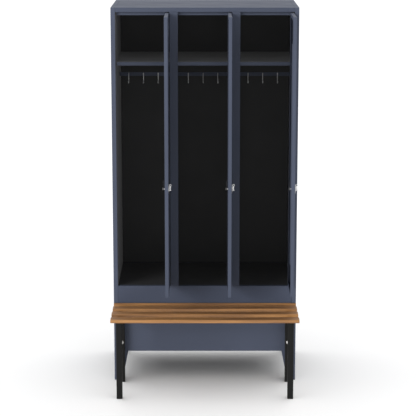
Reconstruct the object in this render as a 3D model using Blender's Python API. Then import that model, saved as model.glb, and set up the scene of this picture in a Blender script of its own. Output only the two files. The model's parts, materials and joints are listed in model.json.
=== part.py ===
# Steel cloakroom locker with three compartments, and a slatted wooden bench
# bolted to its front. Units are metres, +Z is up, and +X is to the right of
# someone who stands before the locker. The origin is on the floor, under the
# middle of the whole outline. The doors stand open at a right angle.

import math

import bmesh
import bpy
from mathutils import Vector

# Overall sizes of the cabinet and of the bench before it
CABINET_WIDTH = 0.900
CABINET_HEIGHT = 1.850
CABINET_DEPTH = 0.500
BENCH_REACH = 0.315
SEAT_HEIGHT = 0.398

# Clearances and sheet
SHEET = 0.001
GAP = 0.0003
CLEAN_UP = 0.00003
OVERRUN = 0.004
BEND_RADIUS = 0.0012

# Cabinet sections
SIDE_THICKNESS = 0.0215
SIDE_EDGE = 0.002
FASCIA_HEIGHT = 0.0215
FRAME_DEPTH = 0.020
POST_WIDTH = 0.040
POST_SLOT_CLEARANCE = 0.0006
SHEET_TONGUE = 0.005
FLOOR_HEIGHT = 0.4845
STOP_LIP_DROP = 0.016
STOP_LIP_RELIEF = 0.0055
FLANGE = 0.015

# Cut-outs that leave a foot at each corner of the base
FOOT_AT_FLOOR = 0.040
FOOT_AT_TOP = 0.069
CUTOUT_HEIGHT = 0.150

# Hat shelf, placed from the top of the cabinet
SHELF_DROP = 0.2615
SHELF_LIP = 0.018
SHELF_SETBACK = 0.022
SHELF_RELIEF = 0.0045
SHELF_HEM = 0.010

# Hook rail and its wire hooks, placed from the shelf above them
RAIL_DROP = 0.0895
RAIL_THICKNESS = 0.002
RAIL_TALL = 0.018
RAIL_DEPTH = 0.350
RAIL_TAB = 0.015
HOOKS_PER_RAIL = 3
HOOK_SPACING = 0.074
HOOK_WIRE = 0.0046
HOOK_CURL = 0.011
HOOK_DROP = 0.066
HOOK_TIP_RISE = 0.013
HOOK_TOP_MARGIN = 0.002
HOOK_WELD = 0.0008

# Doors, inset between the posts, each hinged on its right edge
DOOR_THICKNESS = 0.017
DOOR_SIDE_GAP = 0.003
DOOR_END_GAP = 0.004
DOOR_RETURN = 0.018
PIVOT_INSET = 0.006
PIN_RADIUS = 0.003
PIN_COLLAR_RADIUS = 0.0055
PIN_REACH = 0.012
DOOR_OPEN_DEG = 90.0
VENT_COUNT = 3
VENT_WIDTH = 0.100
VENT_TALL = 0.006
VENT_PITCH = 0.018
VENT_MARGIN = 0.050
STIFFENER_TOP = 0.034
STIFFENER_BASE = 0.070
STIFFENER_DEPTH = 0.0135
STIFFENER_FOOT = 0.012
STIFFENER_MARGIN = 0.135

# Turn latch with an eye for a padlock
LATCH_HEIGHT = 1.0125
LATCH_INSET = 0.030
ROSETTE_RADIUS = 0.023
ROSETTE_THICKNESS = 0.0025
KNOB_RADIUS = 0.011
KNOB_THICKNESS = 0.004
GRIP_THICKNESS = 0.003
GRIP_OUT = 0.0112
GRIP_LOW = 0.009
FIXED_EYE_THICKNESS = 0.0025
FIXED_EYE_STEM = 0.0045
EYE_OUT = 0.0088
EYE_OFFSET = 0.0170
EYE_RADIUS = 0.0055
EYE_HOLE_RADIUS = 0.0034
SPINDLE_RADIUS = 0.004
CAM_SETBACK = 0.0225
CAM_THICKNESS = 0.003
CAM_LENGTH = 0.042
CAM_WIDTH = 0.014
SPINDLE_STUB = 0.002
STRIKE_CLEARANCE = 0.0012

# Bench
SLAT_COUNT = 3
SLAT_WIDTH = 0.052
SLAT_THICKNESS = 0.016
SLAT_PITCH = 0.1015
SLAT_EDGE_RADIUS = 0.003
LEDGER_THICKNESS = 0.0122
TUBE = 0.028
TUBE_WALL = 0.002
TUBE_CORNER = 0.002
LEG_INSET = 0.0255
FRONT_LEG_SETBACK = 0.015
SPACER_LENGTH = 0.0075
SPACER_RADIUS = 0.010
GLIDE_HEIGHT = 0.005
GLIDE_PLUG = 0.014
BOLT_HEIGHT = 0.205
BOLT_RADIUS = 0.004
BOLT_WASHER_RADIUS = 0.009
BOLT_WASHER_THICKNESS = 0.0016
BOLT_HEAD_RADIUS = 0.0065
BOLT_HEAD_THICKNESS = 0.0045
BOLT_END = 0.006
NUT_THICKNESS = 0.0045

# Facet counts
ROUND_SIDES = 24
SMALL_SIDES = 16
HEX_SIDES = 6
CURL_STEPS = 10
BEND_STEPS = 2
SLAT_STEPS = 3
SHARP_DEG = 35.0
PARALLEL_DEG = 1.0

# Finishes: colour in linear light, roughness, metal or not
COAT_COLOUR = (0.072, 0.084, 0.125)
GRAPHITE_COLOUR = (0.012, 0.012, 0.013)
STEEL_COLOUR = (0.62, 0.62, 0.63)
ZINC_COLOUR = (0.55, 0.55, 0.56)
FRAME_COLOUR = (0.018, 0.018, 0.018)
PLASTIC_COLOUR = (0.012, 0.012, 0.012)
WOOD_COLOUR = (0.30, 0.165, 0.065)
COAT_ROUGHNESS = 0.5
PLASTIC_ROUGHNESS = 0.6
METAL_ROUGHNESS = 0.3
BARE_METAL = 1.0
COATED = 0.0

# Places that follow from the sizes above
HALF_WIDTH = CABINET_WIDTH / 2
INNER_HALF = HALF_WIDTH - SIDE_THICKNESS
TOTAL_DEPTH = CABINET_DEPTH + BENCH_REACH
FRONT_Y = BENCH_REACH - TOTAL_DEPTH / 2
BACK_Y = FRONT_Y + CABINET_DEPTH
BACK_WALL_Y = BACK_Y - FRAME_DEPTH
ROOF_UNDERSIDE = CABINET_HEIGHT - FASCIA_HEIGHT
STOP_LIP_BOTTOM = ROOF_UNDERSIDE - STOP_LIP_DROP
SHELF_HEIGHT = CABINET_HEIGHT - SHELF_DROP
RAIL_TOP = SHELF_HEIGHT - RAIL_DROP
HOOK_LOW = RAIL_TOP - HOOK_DROP
BAYS = ("left", "middle", "right")
POST_COUNT = len(BAYS) - 1
OPENING = (2 * INNER_HALF - POST_COUNT * POST_WIDTH) / len(BAYS)
BAY_PITCH = OPENING + POST_WIDTH
DOOR_WIDTH = OPENING - 2 * DOOR_SIDE_GAP
DOOR_BOTTOM = FLOOR_HEIGHT + DOOR_END_GAP
DOOR_TOP = ROOF_UNDERSIDE - DOOR_END_GAP
DOOR_FREE_EDGE = PIVOT_INSET - DOOR_WIDTH
DOOR_BACK = DOOR_THICKNESS - PIVOT_INSET
SLAT_BOTTOM = SEAT_HEIGHT - SLAT_THICKNESS
TUBE_TOP = SLAT_BOTTOM - GAP
LEG_OUTER = HALF_WIDTH - LEG_INSET
LEG_CENTRE = LEG_OUTER - TUBE / 2
BENCH_FRONT_Y = FRONT_Y - BENCH_REACH
FRONT_LEG_Y = BENCH_FRONT_Y + FRONT_LEG_SETBACK
REAR_LEG_Y = FRONT_Y - SPACER_LENGTH - TUBE


def clear_scene():
    for item in list(bpy.data.objects):
        bpy.data.objects.remove(item, do_unlink=True)


def material(name, colour, roughness, metallic):
    made = bpy.data.materials.new(name)
    made.use_nodes = True
    shader = made.node_tree.nodes["Principled BSDF"]
    shader.inputs["Base Color"].default_value = (*colour, 1.0)
    shader.inputs["Roughness"].default_value = roughness
    shader.inputs["Metallic"].default_value = metallic
    made.diffuse_color = (*colour, 1.0)
    return made


def point_on(axis, along, across):
    """A 3D point from a place along one axis and an outline point across it."""
    if axis == "X":
        return Vector((along, across[0], across[1]))
    if axis == "Y":
        return Vector((across[0], along, across[1]))
    return Vector((across[0], across[1], along))


def prism(outline, axis, start, end):
    """A closed outline, extruded along an axis."""
    mesh = bmesh.new()
    corners = [mesh.verts.new(point_on(axis, start, corner)) for corner in outline]
    face = mesh.faces.new(corners)
    grown = bmesh.ops.extrude_face_region(mesh, geom=[face])
    moved = [item for item in grown["geom"] if isinstance(item, bmesh.types.BMVert)]
    travel = point_on(axis, end, (0, 0)) - point_on(axis, start, (0, 0))
    bmesh.ops.translate(mesh, verts=moved, vec=travel)
    bmesh.ops.recalc_face_normals(mesh, faces=mesh.faces)
    return mesh


def rectangle(low, high):
    return [(low[0], low[1]), (high[0], low[1]), (high[0], high[1]), (low[0], high[1])]


def block(low, high):
    """A box between two opposite corners."""
    return prism(rectangle(low[:2], high[:2]), "Z", low[2], high[2])


def circle(centre, radius, sides):
    points = []
    for index in range(sides):
        angle = math.tau * index / sides
        points.append((centre[0] + radius * math.cos(angle), centre[1] + radius * math.sin(angle)))
    return points


def folded(path, thickness=SHEET):
    """Outline of a sheet folded along a path of outer corners, metal on the path's left."""
    steps = []
    for start, end in zip(path, path[1:]):
        steps.append((Vector(end) - Vector(start)).normalized())
    inner = []
    for index, corner in enumerate(path):
        before = steps[max(index - 1, 0)]
        after = steps[min(index, len(steps) - 1)]
        left_before = Vector((-before.y, before.x))
        left_after = Vector((-after.y, after.x))
        mitre = (left_before + left_after) / (1.0 + left_before.dot(left_after))
        inner.append(tuple(Vector(corner) + mitre * thickness))
    return list(path) + inner[::-1]


def join(target, *others):
    """Add the shapes of other meshes to one mesh."""
    for other in others:
        spare = bpy.data.meshes.new("spare")
        other.to_mesh(spare)
        other.free()
        target.from_mesh(spare)
        bpy.data.meshes.remove(spare)
    return target


def round_edges(mesh, edges, radius, steps):
    bmesh.ops.bevel(
        mesh, geom=edges, offset=radius, offset_type="OFFSET",
        segments=steps, profile=0.5, affect="EDGES", clamp_overlap=True,
    )
    return mesh


def edges_along(mesh, axis):
    """The edges of a mesh that run parallel to an axis."""
    index = "XYZ".index(axis)
    found = []
    for edge in mesh.edges:
        run = (edge.verts[1].co - edge.verts[0].co).normalized()
        if abs(run[index]) > math.cos(math.radians(PARALLEL_DEG)):
            found.append(edge)
    return found


def add_object(name, mesh, finish, parent=None, location=(0, 0, 0)):
    """Turn a bmesh, or a mesh that a twin already has, into a named object."""
    if isinstance(mesh, bmesh.types.BMesh):
        data = bpy.data.meshes.new(name)
        mesh.to_mesh(data)
        mesh.free()
    else:
        data = mesh
    made = bpy.data.objects.new(name, data)
    bpy.context.scene.collection.objects.link(made)
    if not data.materials:
        data.materials.append(finish)
    made.parent = parent
    made.location = location
    return made


def carve(target, cutter_mesh, operation="DIFFERENCE"):
    """Cut a shape out of an object, or join it on, and keep the result as its mesh."""
    cutter = add_object("cutter", cutter_mesh, target.data.materials[0])
    cutter.hide_render = True
    cutter.display_type = "WIRE"
    cutter.parent = target.parent
    cutter.location = target.location
    step = target.modifiers.new("cut", "BOOLEAN")
    step.operation = operation
    step.solver = "EXACT"
    step.object = cutter
    bpy.context.view_layer.update()
    depsgraph = bpy.context.evaluated_depsgraph_get()
    result = bpy.data.meshes.new_from_object(target.evaluated_get(depsgraph))
    target.modifiers.clear()
    target.data = result
    bpy.data.objects.remove(cutter, do_unlink=True)
    return target


def smooth(target):
    target.data.shade_smooth()
    target.data.set_sharp_from_angle(angle=math.radians(SHARP_DEG))
    return target


def empty(name, location, parent=None):
    made = bpy.data.objects.new(name, None)
    bpy.context.scene.collection.objects.link(made)
    made.location = location
    made.parent = parent
    return made


def footed_outline(low, high, inset):
    """A panel's outline with a tapered cut-out at the floor, drawn in by an inset."""
    slope = (FOOT_AT_TOP - FOOT_AT_FLOOR) / CUTOUT_HEIGHT
    slant_inset = inset * math.sqrt(1.0 + slope * slope)
    sole = inset
    crown = CUTOUT_HEIGHT + inset
    foot_low = FOOT_AT_FLOOR + slope * sole - slant_inset
    foot_high = FOOT_AT_FLOOR + slope * crown - slant_inset
    return [
        (low + inset, sole),
        (low + foot_low, sole),
        (low + foot_high, crown),
        (high - foot_high, crown),
        (high - foot_low, sole),
        (high - inset, sole),
    ]


def footed_panel(low, high, top, inset=0):
    return footed_outline(low, high, inset) + [(high - inset, top - inset), (low + inset, top - inset)]


def bay_left(index):
    return -INNER_HALF + index * BAY_PITCH


def post_centre(index):
    return -INNER_HALF + (index + 1) * OPENING + (index + 0.5) * POST_WIDTH


def bay_walls(index):
    """Inner faces of what bounds a bay behind its posts: a side panel or a partition."""
    left = -INNER_HALF if index == 0 else post_centre(index - 1) + SHEET / 2
    right = INNER_HALF if index == POST_COUNT else post_centre(index) - SHEET / 2
    return left + GAP, right - GAP


def side_panel(name, mirror, finish, with_strike):
    """Double-skinned side wall: outer skin, inner skin and closed edges, open inside the base."""
    outer_x = mirror * HALF_WIDTH
    inner_x = mirror * INNER_HALF
    outline = footed_panel(FRONT_Y, BACK_Y, CABINET_HEIGHT)
    body = prism(outline, "X", min(outer_x, inner_x), max(outer_x, inner_x))
    outer_edges = [
        edge for edge in edges_along(body, "Z")
        if all(abs(abs(corner.co.x) - HALF_WIDTH) < GAP for corner in edge.verts)
    ]
    round_edges(body, outer_edges, BEND_RADIUS, BEND_STEPS)
    panel = add_object(name, body, finish)
    hollow = prism(
        footed_panel(FRONT_Y, BACK_Y, CABINET_HEIGHT, SIDE_EDGE), "X",
        outer_x - mirror * SIDE_EDGE, inner_x + mirror * SHEET,
    )
    carve(panel, hollow)
    low_x, high_x = inner_skin_reach(inner_x, mirror)
    window = block(
        (low_x, FRONT_Y + FRAME_DEPTH + FLANGE, CUTOUT_HEIGHT + FLANGE),
        (high_x, BACK_WALL_Y - FLANGE, FLOOR_HEIGHT - FRAME_DEPTH - FLANGE),
    )
    carve(panel, window)
    if with_strike:
        carve(panel, strike_slot(inner_x, mirror))
    return panel


def inner_skin_reach(wall_x, mirror):
    """Both ends in X of a cutter that goes through a side wall's inner skin alone."""
    ends = (wall_x - mirror * OVERRUN, wall_x + mirror * OVERRUN)
    return min(ends), max(ends)


def strike_slot(wall_x, mirror):
    """Slot that the latch's cam swings into, sized by the arc that the cam's corner makes."""
    corner_reach = math.hypot(CAM_LENGTH, CAM_WIDTH / 2)
    from_latch = LATCH_INSET + DOOR_SIDE_GAP
    arc_height = math.sqrt(corner_reach * corner_reach - from_latch * from_latch)
    near = FRONT_Y + CAM_SETBACK - STRIKE_CLEARANCE
    far = FRONT_Y + CAM_SETBACK + CAM_THICKNESS + STRIKE_CLEARANCE
    low_x, high_x = inner_skin_reach(wall_x, mirror)
    low_z = LATCH_HEIGHT - CAM_WIDTH / 2 - STRIKE_CLEARANCE
    high_z = LATCH_HEIGHT + arc_height + STRIKE_CLEARANCE
    return block((low_x, near, low_z), (high_x, far, high_z))


def base_panel(name, face_y, inward, finish):
    """Pressed panel below the bays: a face with its top, sides and cut-out folded inwards."""
    half = INNER_HALF - GAP
    back_y = face_y + inward * (FRAME_DEPTH - GAP)
    body = prism(footed_panel_between(half, 0), "Y", min(face_y, back_y), max(face_y, back_y))
    panel = add_object(name, body, finish)
    skin_y = face_y + inward * SHEET
    open_y = back_y + inward * OVERRUN
    hollow = prism(footed_panel_between(half, SHEET), "Y", min(skin_y, open_y), max(skin_y, open_y))
    carve(panel, hollow)
    return panel


def footed_panel_between(half, inset):
    """The base panel's outline, whose feet line up with the side panels' own feet."""
    slope = (FOOT_AT_TOP - FOOT_AT_FLOOR) / CUTOUT_HEIGHT
    slant_inset = inset * math.sqrt(1.0 + slope * slope)
    crown = CUTOUT_HEIGHT + inset
    foot_low = HALF_WIDTH - FOOT_AT_FLOOR - slope * inset + slant_inset
    foot_high = HALF_WIDTH - FOOT_AT_FLOOR - slope * crown + slant_inset
    top = FLOOR_HEIGHT - inset
    edge = half - inset
    return [
        (-edge, inset), (-foot_low, inset), (-foot_high, crown), (foot_high, crown),
        (foot_low, inset), (edge, inset), (edge, top), (-edge, top),
    ]


def bolt_hole(panel, side):
    """Round hole in the front base panel for one of the bench's bolts."""
    centre = (side * LEG_CENTRE, BOLT_HEIGHT)
    hole = circle(centre, BOLT_RADIUS + GAP, SMALL_SIDES)
    carve(panel, prism(hole, "Y", FRONT_Y - OVERRUN, FRONT_Y + OVERRUN))


def top_panel(finish):
    """Roof folded from one sheet, with a box edge at front and back and a door stop."""
    half = INNER_HALF - GAP
    stop_y = FRONT_Y + FRAME_DEPTH + SHEET
    outline = [
        (stop_y - SHEET, STOP_LIP_BOTTOM),
        (stop_y, STOP_LIP_BOTTOM),
        (stop_y, ROOF_UNDERSIDE + SHEET),
        (FRONT_Y + SHEET, ROOF_UNDERSIDE + SHEET),
        (FRONT_Y + SHEET, CABINET_HEIGHT - SHEET),
        (BACK_Y - SHEET, CABINET_HEIGHT - SHEET),
        (BACK_Y - SHEET, ROOF_UNDERSIDE + SHEET),
        (BACK_WALL_Y, ROOF_UNDERSIDE + SHEET),
        (BACK_WALL_Y, ROOF_UNDERSIDE),
        (BACK_Y, ROOF_UNDERSIDE),
        (BACK_Y, CABINET_HEIGHT),
        (FRONT_Y, CABINET_HEIGHT),
        (FRONT_Y, ROOF_UNDERSIDE),
        (stop_y - SHEET, ROOF_UNDERSIDE),
    ]
    roof = add_object("top_panel", prism(outline, "X", -half, half), finish)
    for side in (-1, 1):
        low = min(side * (half - STOP_LIP_RELIEF), side * (half + OVERRUN))
        high = max(side * (half - STOP_LIP_RELIEF), side * (half + OVERRUN))
        relief = block(
            (low, FRONT_Y + FRAME_DEPTH - OVERRUN, STOP_LIP_BOTTOM - OVERRUN),
            (high, FRONT_Y + FRAME_DEPTH + OVERRUN, ROOF_UNDERSIDE - GAP),
        )
        carve(roof, relief)
    return roof


def floor_panel(finish):
    """Floor of the bays: a sheet with its four edges folded down."""
    half = INNER_HALF - GAP
    near = FRONT_Y + FRAME_DEPTH + GAP
    far = BACK_WALL_Y - GAP
    under = FLOOR_HEIGHT - FRAME_DEPTH
    tray = add_object("floor_panel", block((-half, near, under), (half, far, FLOOR_HEIGHT)), finish)
    hollow = block(
        (SHEET - half, near + SHEET, under - OVERRUN),
        (half - SHEET, far - SHEET, FLOOR_HEIGHT - SHEET),
    )
    return carve(tray, hollow)


def back_panel(finish):
    """Back wall of the bays: a shallow tray whose rim is folded to the rear."""
    half = INNER_HALF - GAP
    low = FLOOR_HEIGHT + GAP
    high = ROOF_UNDERSIDE - GAP
    tray = add_object("back_panel", block((-half, BACK_WALL_Y, low), (half, BACK_Y, high)), finish)
    hollow = block(
        (SHEET - half, BACK_WALL_Y + SHEET, low + SHEET),
        (half - SHEET, BACK_Y + OVERRUN, high - SHEET),
    )
    return carve(tray, hollow)


def partition_post(name, centre_x, finish):
    """Folded channel between two doorways, open at its back between two returns."""
    low_x = centre_x - POST_WIDTH / 2
    high_x = centre_x + POST_WIDTH / 2
    back_y = FRONT_Y + FRAME_DEPTH - GAP
    half_slot = SHEET / 2 + POST_SLOT_CLEARANCE
    path = [
        (centre_x - half_slot, back_y),
        (low_x, back_y),
        (low_x, FRONT_Y),
        (high_x, FRONT_Y),
        (high_x, back_y),
        (centre_x + half_slot, back_y),
    ]
    channel = prism(folded(path), "Z", FLOOR_HEIGHT + GAP, ROOF_UNDERSIDE - GAP)
    corners = [
        edge for edge in edges_along(channel, "Z")
        if edge.verts[0].co.y < FRONT_Y + GAP
        and abs(edge.verts[0].co.x - centre_x) > POST_WIDTH / 2 - GAP
    ]
    round_edges(channel, corners, BEND_RADIUS / 2, BEND_STEPS)
    return add_object(name, channel, finish)


def partition_sheet(name, centre_x, finish):
    """Thin wall that slots into a post, notched at its top round the door stop."""
    near = FRONT_Y + FRAME_DEPTH - SHEET_TONGUE
    behind_stop = FRONT_Y + FRAME_DEPTH + SHEET + GAP
    far = BACK_WALL_Y - GAP
    low = FLOOR_HEIGHT + GAP
    high = CABINET_HEIGHT - SHEET - GAP
    notch = STOP_LIP_BOTTOM - GAP
    outline = [
        (near, low), (far, low), (far, high), (behind_stop, high), (behind_stop, notch), (near, notch),
    ]
    return add_object(name, prism(outline, "X", centre_x - SHEET / 2, centre_x + SHEET / 2), finish)


def hat_shelf(name, index, finish):
    """Shelf folded from one sheet, with a hemmed lip in front and a flange at the wall."""
    low_x, high_x = bay_walls(index)
    near = FRONT_Y + SHELF_SETBACK
    far = BACK_WALL_Y - GAP
    lip = SHELF_HEIGHT - SHELF_LIP
    path = [
        (near + SHELF_HEM, lip),
        (near, lip),
        (near, SHELF_HEIGHT),
        (far, SHELF_HEIGHT),
        (far, lip),
    ]
    outline = folded(path[::-1])
    shelf = add_object(name, prism(outline, "X", low_x, high_x), finish)
    for edge_x, inward in ((low_x, 1), (high_x, -1)):
        stop_x = edge_x + inward * SHELF_RELIEF
        start_x = edge_x - inward * OVERRUN
        relief = block(
            (min(start_x, stop_x), near - OVERRUN, lip - OVERRUN),
            (max(start_x, stop_x), near + SHELF_HEM + OVERRUN, SHELF_HEIGHT - SHEET - GAP),
        )
        carve(shelf, relief)
    return shelf


def hook_rail(name, index, finish):
    """Flat strip across a bay, held by a tab folded back along each wall, with its hooks welded on."""
    low_x, high_x = bay_walls(index)
    strip_y = FRONT_Y + RAIL_DEPTH
    path = [
        (low_x, strip_y + RAIL_TAB),
        (low_x, strip_y),
        (high_x, strip_y),
        (high_x, strip_y + RAIL_TAB),
    ]
    outline = folded(path, RAIL_THICKNESS)
    rail = add_object(name, prism(outline, "Z", RAIL_TOP - RAIL_TALL, RAIL_TOP), finish)
    return smooth(carve(rail, coat_hooks(index), "UNION"))


def hook_route(centre_x):
    """Points of one wire hook: down the strip's face, round a curl and up to the tip."""
    radius = HOOK_WIRE / 2
    shank_y = FRONT_Y + RAIL_DEPTH - radius + HOOK_WELD
    curl_z = HOOK_LOW + radius + HOOK_CURL
    points = [(centre_x, shank_y, RAIL_TOP - HOOK_TOP_MARGIN), (centre_x, shank_y, curl_z)]
    for step in range(1, CURL_STEPS + 1):
        angle = math.pi * step / CURL_STEPS
        points.append((
            centre_x,
            shank_y - HOOK_CURL + HOOK_CURL * math.cos(angle),
            curl_z - HOOK_CURL * math.sin(angle),
        ))
    points.append((centre_x, shank_y - 2 * HOOK_CURL, curl_z + HOOK_TIP_RISE))
    return points


def coat_hooks(index):
    """The wire hooks of one bay, bent as one filled and bevelled curve."""
    middle_x = bay_left(index) + OPENING / 2
    data = bpy.data.curves.new("hook_wires", "CURVE")
    data.dimensions = "3D"
    data.bevel_depth = HOOK_WIRE / 2
    data.bevel_resolution = 2
    data.use_fill_caps = True
    for hook in range(HOOKS_PER_RAIL):
        offset = (hook - (HOOKS_PER_RAIL - 1) / 2) * HOOK_SPACING
        route = hook_route(middle_x + offset)
        spline = data.splines.new("POLY")
        spline.points.add(len(route) - 1)
        for target, point in zip(spline.points, route):
            target.co = (*point, 1.0)
    wires = bpy.data.objects.new("hook_wires", data)
    bpy.context.scene.collection.objects.link(wires)
    bpy.context.view_layer.update()
    depsgraph = bpy.context.evaluated_depsgraph_get()
    mesh = bmesh.new()
    mesh.from_mesh(wires.evaluated_get(depsgraph).to_mesh())
    bpy.data.objects.remove(wires, do_unlink=True)
    bmesh.ops.remove_doubles(mesh, verts=mesh.verts, dist=CLEAN_UP)
    bmesh.ops.recalc_face_normals(mesh, faces=mesh.faces)
    return mesh


def pivot_x(index):
    return bay_left(index) + OPENING - DOOR_SIDE_GAP - PIVOT_INSET


def hinge_pins(bay, index, finish):
    """Upper and lower pivot pins of one door, each with a collar against the frame."""
    centre = (pivot_x(index), FRONT_Y + PIVOT_INSET)
    ends = (("lower", FLOOR_HEIGHT, DOOR_BOTTOM, 1), ("upper", ROOF_UNDERSIDE, DOOR_TOP, -1))
    for place, frame_z, door_z, way in ends:
        seat = frame_z + way * GAP
        collar_end = door_z - way * GAP
        tip = door_z + way * PIN_REACH
        profile = [
            (0, seat), (PIN_COLLAR_RADIUS, seat), (PIN_COLLAR_RADIUS, collar_end),
            (PIN_RADIUS, collar_end), (PIN_RADIUS, tip), (0, tip),
        ]
        smooth(add_object(f"hinge_pin_{place}_{bay}", turned(profile, "Z", centre, SMALL_SIDES), finish))


def turned(profile, axis, centre, sides):
    """Revolve a profile of (radius, along) points, which starts and ends on the axis."""
    mesh = bmesh.new()
    rings = []
    for radius, along in profile:
        if radius == 0:
            rings.append([mesh.verts.new(point_on(axis, along, centre))])
        else:
            ring = circle(centre, radius, sides)
            rings.append([mesh.verts.new(point_on(axis, along, corner)) for corner in ring])
    for lower, upper in zip(rings, rings[1:]):
        for side in range(sides):
            after = (side + 1) % sides
            if len(lower) == 1:
                mesh.faces.new((lower[0], upper[side], upper[after]))
            elif len(upper) == 1:
                mesh.faces.new((lower[side], lower[after], upper[0]))
            else:
                mesh.faces.new((lower[side], lower[after], upper[after], upper[side]))
    bmesh.ops.recalc_face_normals(mesh, faces=mesh.faces)
    return mesh


def ring(axis, centre, outer, inner, start, end, sides):
    """A washer or short tube with a round bore."""
    mesh = bmesh.new()
    loops = []
    for radius, along in ((outer, start), (outer, end), (inner, end), (inner, start)):
        corners = circle(centre, radius, sides)
        loops.append([mesh.verts.new(point_on(axis, along, corner)) for corner in corners])
    for index, lower in enumerate(loops):
        upper = loops[(index + 1) % len(loops)]
        for side in range(sides):
            after = (side + 1) % sides
            mesh.faces.new((lower[side], lower[after], upper[after], upper[side]))
    bmesh.ops.recalc_face_normals(mesh, faces=mesh.faces)
    return mesh


def door_pan(name, hinge, finish):
    """Door skin with folded edges and returns, drawn shut with its hinge axis as origin."""
    low = (DOOR_FREE_EDGE, -PIVOT_INSET, DOOR_BOTTOM)
    high = (PIVOT_INSET, DOOR_BACK, DOOR_TOP)
    body = block(low, high)
    front_corners = [
        edge for edge in edges_along(body, "Z") + edges_along(body, "X")
        if all(corner.co.y < GAP - PIVOT_INSET for corner in edge.verts)
    ]
    round_edges(body, front_corners, BEND_RADIUS, BEND_STEPS)
    pan = add_object(name, body, finish, hinge)
    hollow = block(
        (low[0] + SHEET, low[1] + SHEET, low[2] + SHEET),
        (high[0] - SHEET, high[1] - SHEET, high[2] - SHEET),
    )
    mouth = block(
        (low[0] + DOOR_RETURN, high[1] - OVERRUN, low[2] + DOOR_RETURN),
        (high[0] - DOOR_RETURN, high[1] + OVERRUN, high[2] - DOOR_RETURN),
    )
    carve(pan, hollow)
    carve(pan, mouth)
    pin_hole = circle((0, 0), PIN_RADIUS + GAP, SMALL_SIDES)
    for edge_z in (DOOR_BOTTOM, DOOR_TOP):
        carve(pan, prism(pin_hole, "Z", edge_z - OVERRUN, edge_z + OVERRUN))
    latch_hole = circle((DOOR_FREE_EDGE + LATCH_INSET, LATCH_HEIGHT), SPINDLE_RADIUS + GAP, SMALL_SIDES)
    carve(pan, prism(latch_hole, "Y", -PIVOT_INSET - OVERRUN, OVERRUN - PIVOT_INSET))
    carve(pan, vent_slots())
    return pan


def vent_slots():
    """Cutters of the slots that air each door at its top and at its bottom."""
    middle_x = (PIVOT_INSET + DOOR_FREE_EDGE) / 2
    cutters = bmesh.new()
    for edge_z, way in ((DOOR_BOTTOM, 1), (DOOR_TOP, -1)):
        for row in range(VENT_COUNT):
            centre_z = edge_z + way * (VENT_MARGIN + row * VENT_PITCH)
            slot = block(
                (middle_x - VENT_WIDTH / 2, -PIVOT_INSET - OVERRUN, centre_z - VENT_TALL / 2),
                (middle_x + VENT_WIDTH / 2, OVERRUN - PIVOT_INSET, centre_z + VENT_TALL / 2),
            )
            round_edges(slot, edges_along(slot, "Y"), VENT_TALL / 2 - GAP, BEND_STEPS)
            join(cutters, slot)
    return cutters


def door_stiffener(name, hinge, finish):
    """Hat-shaped channel glued upright to the inside of the door skin."""
    middle_x = (PIVOT_INSET + DOOR_FREE_EDGE) / 2
    seat_y = SHEET + GAP - PIVOT_INSET
    crown_y = seat_y + STIFFENER_DEPTH
    half_top = STIFFENER_TOP / 2
    half_base = STIFFENER_BASE / 2
    path = [
        (middle_x - half_base, seat_y),
        (middle_x - half_base + STIFFENER_FOOT, seat_y),
        (middle_x - half_top, crown_y - SHEET),
        (middle_x + half_top, crown_y - SHEET),
        (middle_x + half_base - STIFFENER_FOOT, seat_y),
        (middle_x + half_base, seat_y),
    ]
    low = DOOR_BOTTOM + STIFFENER_MARGIN
    high = DOOR_TOP - STIFFENER_MARGIN
    return add_object(name, prism(folded(path), "Z", low, high), finish, hinge)


def latch_rosette(name, latch, finish):
    """Round plate on the door under the knob, with the fixed eye that the padlock locks to."""
    outer_y = -(GAP + ROSETTE_THICKNESS)
    plate = ring("Y", (0, 0), ROSETTE_RADIUS, SPINDLE_RADIUS + GAP, -GAP, outer_y, ROUND_SIDES)
    made = add_object(name, plate, finish, latch)
    top_z = -(GRIP_THICKNESS / 2 + GAP)
    low_z = top_z - FIXED_EYE_THICKNESS
    stem = block(
        (-EYE_OFFSET - FIXED_EYE_STEM, -EYE_OUT, low_z),
        (FIXED_EYE_STEM - EYE_OFFSET, outer_y + ROSETTE_THICKNESS / 2, top_z),
    )
    eye = prism(circle((-EYE_OFFSET, -EYE_OUT), EYE_RADIUS, SMALL_SIDES), "Z", low_z, top_z)
    carve(made, stem, "UNION")
    carve(made, eye, "UNION")
    hole = circle((-EYE_OFFSET, -EYE_OUT), EYE_HOLE_RADIUS, SMALL_SIDES)
    carve(made, prism(hole, "Z", low_z - OVERRUN, top_z + OVERRUN))
    return smooth(made)


def latch_knob(name, latch, finish):
    """Knob, its grip with the padlock's eye, and the spindle that goes through the door."""
    seat_y = -(GAP + ROSETTE_THICKNESS + GAP)
    outer_y = seat_y - KNOB_THICKNESS
    end_y = CAM_SETBACK + CAM_THICKNESS + SPINDLE_STUB
    profile = [
        (0, outer_y), (KNOB_RADIUS, outer_y), (KNOB_RADIUS, seat_y),
        (SPINDLE_RADIUS, seat_y), (SPINDLE_RADIUS, end_y), (0, end_y),
    ]
    made = add_object(name, turned(profile, "Y", (0, 0), ROUND_SIDES), finish, latch)
    half = GRIP_THICKNESS / 2
    grip = block(
        (-half, -GRIP_OUT, -GRIP_LOW),
        (half, outer_y + KNOB_THICKNESS / 2, EYE_OFFSET),
    )
    eye = prism(circle((-EYE_OUT, EYE_OFFSET), EYE_RADIUS, SMALL_SIDES), "X", -half, half)
    carve(made, grip, "UNION")
    carve(made, eye, "UNION")
    hole = circle((-EYE_OUT, EYE_OFFSET), EYE_HOLE_RADIUS, SMALL_SIDES)
    carve(made, prism(hole, "X", -half - OVERRUN, half + OVERRUN))
    return smooth(made)


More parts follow.
